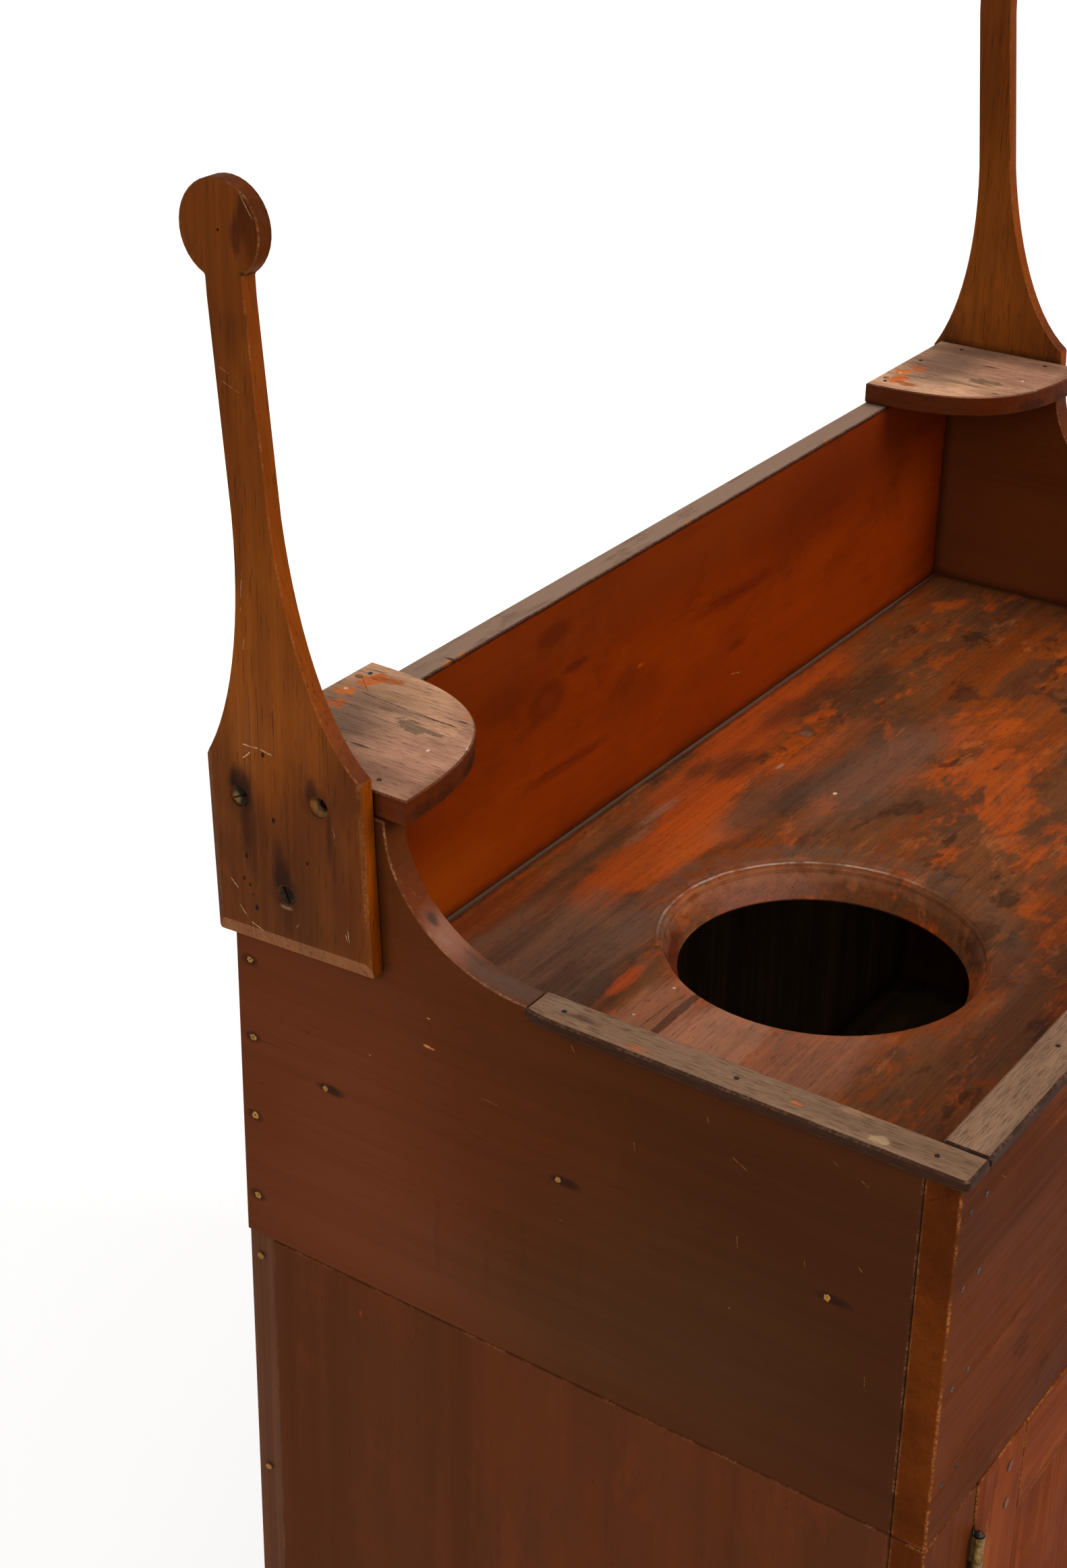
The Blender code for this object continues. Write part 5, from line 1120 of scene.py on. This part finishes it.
def make_hinge_screws(dice):
    """Three slotted screws in every hinge leaf, on its bare face in the gap beside the barrel."""
    for side, word in SIDES:
        for kind, body, face_x, way in (("frame", "case", FRAME_LEAF_X, -side),
                                        ("door", word + "_door", DOOR_LEAF_X, side)):
            bm = bmesh.new()
            for level in ("lower", "upper"):
                low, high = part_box(word + "_" + level + "_hinge_" + kind + "_leaf")
                for shift, y in LEAF_SCREWS:
                    place = (side * face_x, FRONT_Y + y, (low[2] + high[2]) / 2 + shift)
                    add_slotted_head(bm, dice, place, (way, 0, 0))
            finish_piece(word + "_" + kind + "_hinge_screws", bm, "brass", body)


def make_hole_wall(taper=0.0085, top=0.0048, low=0.0205, sunk=0.0004, rounding=0.0022, foot_rise=0.0012,
                   sides=72):
    """The leaning wall of the bowl's hole: a ring inside the straight one, narrower at its lower edge."""
    bm = bmesh.new()
    top_z, low_z = BOWL_TOP - top, BOWL_TOP - low
    foot = HOLE_RADIUS - taper
    profile = ((HOLE_RADIUS + sunk, top_z), (HOLE_RADIUS - sunk, top_z),
               (HOLE_RADIUS - 4 * sunk, top_z - rounding), (foot, low_z + foot_rise),
               (foot + foot_rise / 2, low_z), (HOLE_RADIUS + sunk, low_z))
    loops = []
    for index in range(sides):
        loop = []
        for radius, z in profile:
            x, y = on_circle(radius, index / sides)
            loop.append(bm.verts.new((HOLE_CENTRE[0] + x, HOLE_CENTRE[1] + y, z)))
        loops.append(loop)
    for loop, after in zip(loops, loops[1:] + loops[:1]):
        for corner in range(len(profile)):
            follow = (corner + 1) % len(profile)
            bm.faces.new((loop[corner], loop[follow], after[follow], after[corner]))
    finish_piece("bowl_hole_wall", bm, "bowl", "case")


# Floor, lamps and camera

FLOOR_RADIUS = 16.0
# Where the floor's whiteness starts and stops to rise, in metres from the middle, and from what to what
FLOOR_FADE = (0.9, 3.0, 0.46, 0.78)
WORLD_LIGHT = 0.4


def make_floor():
    """A plain white floor that keeps the shadow, wide enough to meet the white world."""
    bm = bmesh.new()
    bmesh.ops.create_circle(bm, cap_ends=True, segments=96, radius=FLOOR_RADIUS)
    mesh = bpy.data.meshes.new("floor")
    bm.to_mesh(mesh)
    bm.free()
    floor = bpy.data.objects.new("floor", mesh)
    bpy.context.scene.collection.objects.link(floor)
    material = bpy.data.materials.new("floor_white")
    material.use_nodes = True
    graph = Graph(material.node_tree)
    shader = material.node_tree.nodes["Principled BSDF"].inputs
    values = (("Base Color", (0.8, 0.8, 0.8, 1.0)), ("Roughness", 0.9), ("Emission Color", (1, 1, 1, 1)))
    for word, value in values:
        shader[word].default_value = value
    rays = graph.add("LightPath").outputs
    seen = graph.math("MAXIMUM", rays["Is Camera Ray"], graph.math("MULTIPLY", rays["Is Glossy Ray"], 0.4))
    seen = graph.math("MAXIMUM", seen, rays["Is Transmission Ray"])
    whiteness = graph.ramp(graph.measure("LENGTH", graph.place()), *FLOOR_FADE)
    graph.feed(shader["Emission Strength"], graph.math("MULTIPLY", seen, whiteness))
    mesh.materials.append(material)


def make_world():
    """White where it is seen, and a plain soft grey as light and in reflections."""
    world = bpy.context.scene.world = bpy.data.worlds.new("studio")
    world.use_nodes = True
    graph = Graph(world.node_tree)
    background = world.node_tree.nodes["Background"].inputs
    background["Color"].default_value = (1, 1, 1, 1)
    rays = graph.add("LightPath").outputs
    seen = graph.math("MAXIMUM", rays["Is Camera Ray"], rays["Is Transmission Ray"])
    graph.feed(background["Strength"], graph.math("MULTIPLY_ADD", seen, 1.0 - WORLD_LIGHT, WORLD_LIGHT))


# Each lamp's name, place, target and power in watts
LAMPS = (
    ("key", (1.2, -2.8, 2.9), (0.0, 0.0, 0.75), 78.0),
    ("side", (-2.6, -0.6, 1.9), (0.0, 0.05, 0.7), 26.0),
    ("back", (0.6, 2.6, 2.4), (0.0, 0.0, 0.7), 26.0),
)
LAMP_SIZE = 1.8


def make_lamps():
    for name, place, target, power in LAMPS:
        data = bpy.data.lights.new(name, "AREA")
        data.shape = "SQUARE"
        data.size = LAMP_SIZE
        data.energy = power
        lamp = bpy.data.objects.new(name, data)
        bpy.context.scene.collection.objects.link(lamp)
        way = Vector(target) - Vector(place)
        lamp.matrix_world = Matrix.Translation(place) @ way.to_track_quat("-Z", "Y").to_matrix().to_4x4()


# The camera's place in metres, its turns in radians, its lens in millimetres and its shift
CAMERA_PLACE = (-1.3391, -0.5785, 1.4977)
CAMERA_YAW = 0.643905
CAMERA_DOWN = 0.444746
CAMERA_ROLL = 0.00725
CAMERA_LENS = 58.76
CAMERA_SHIFT = (0.08025, -0.06452)


def make_camera():
    """The photograph's own view, for an image of 1582 by 2324."""
    ahead = Vector((math.cos(CAMERA_YAW) * math.cos(CAMERA_DOWN),
                    math.sin(CAMERA_YAW) * math.cos(CAMERA_DOWN), -math.sin(CAMERA_DOWN)))
    level_right = Vector((math.sin(CAMERA_YAW), -math.cos(CAMERA_YAW), 0))
    level_down = ahead.cross(level_right)
    right = math.cos(CAMERA_ROLL) * level_right + math.sin(CAMERA_ROLL) * level_down
    down = -math.sin(CAMERA_ROLL) * level_right + math.cos(CAMERA_ROLL) * level_down
    data = bpy.data.cameras.new("camera")
    data.lens = CAMERA_LENS
    data.sensor_width = 36.0
    data.shift_x, data.shift_y = CAMERA_SHIFT
    data.clip_start = 0.05
    data.clip_end = 100.0
    camera = bpy.data.objects.new("camera", data)
    bpy.context.scene.collection.objects.link(camera)
    turn = Matrix((right, -down, -ahead)).transposed().to_4x4()
    camera.matrix_world = Matrix.Translation(CAMERA_PLACE) @ turn
    bpy.context.scene.camera = camera


bpy.context.scene.view_settings.view_transform = "Standard"
make_camera()
make_world()
make_lamps()
make_floor()
paint_nodes()
make_hole_wall()
DICE = random.Random(7)
make_nails(DICE)
make_pegs(DICE)
make_hinge_screws(DICE)
bpy.context.view_layer.update()
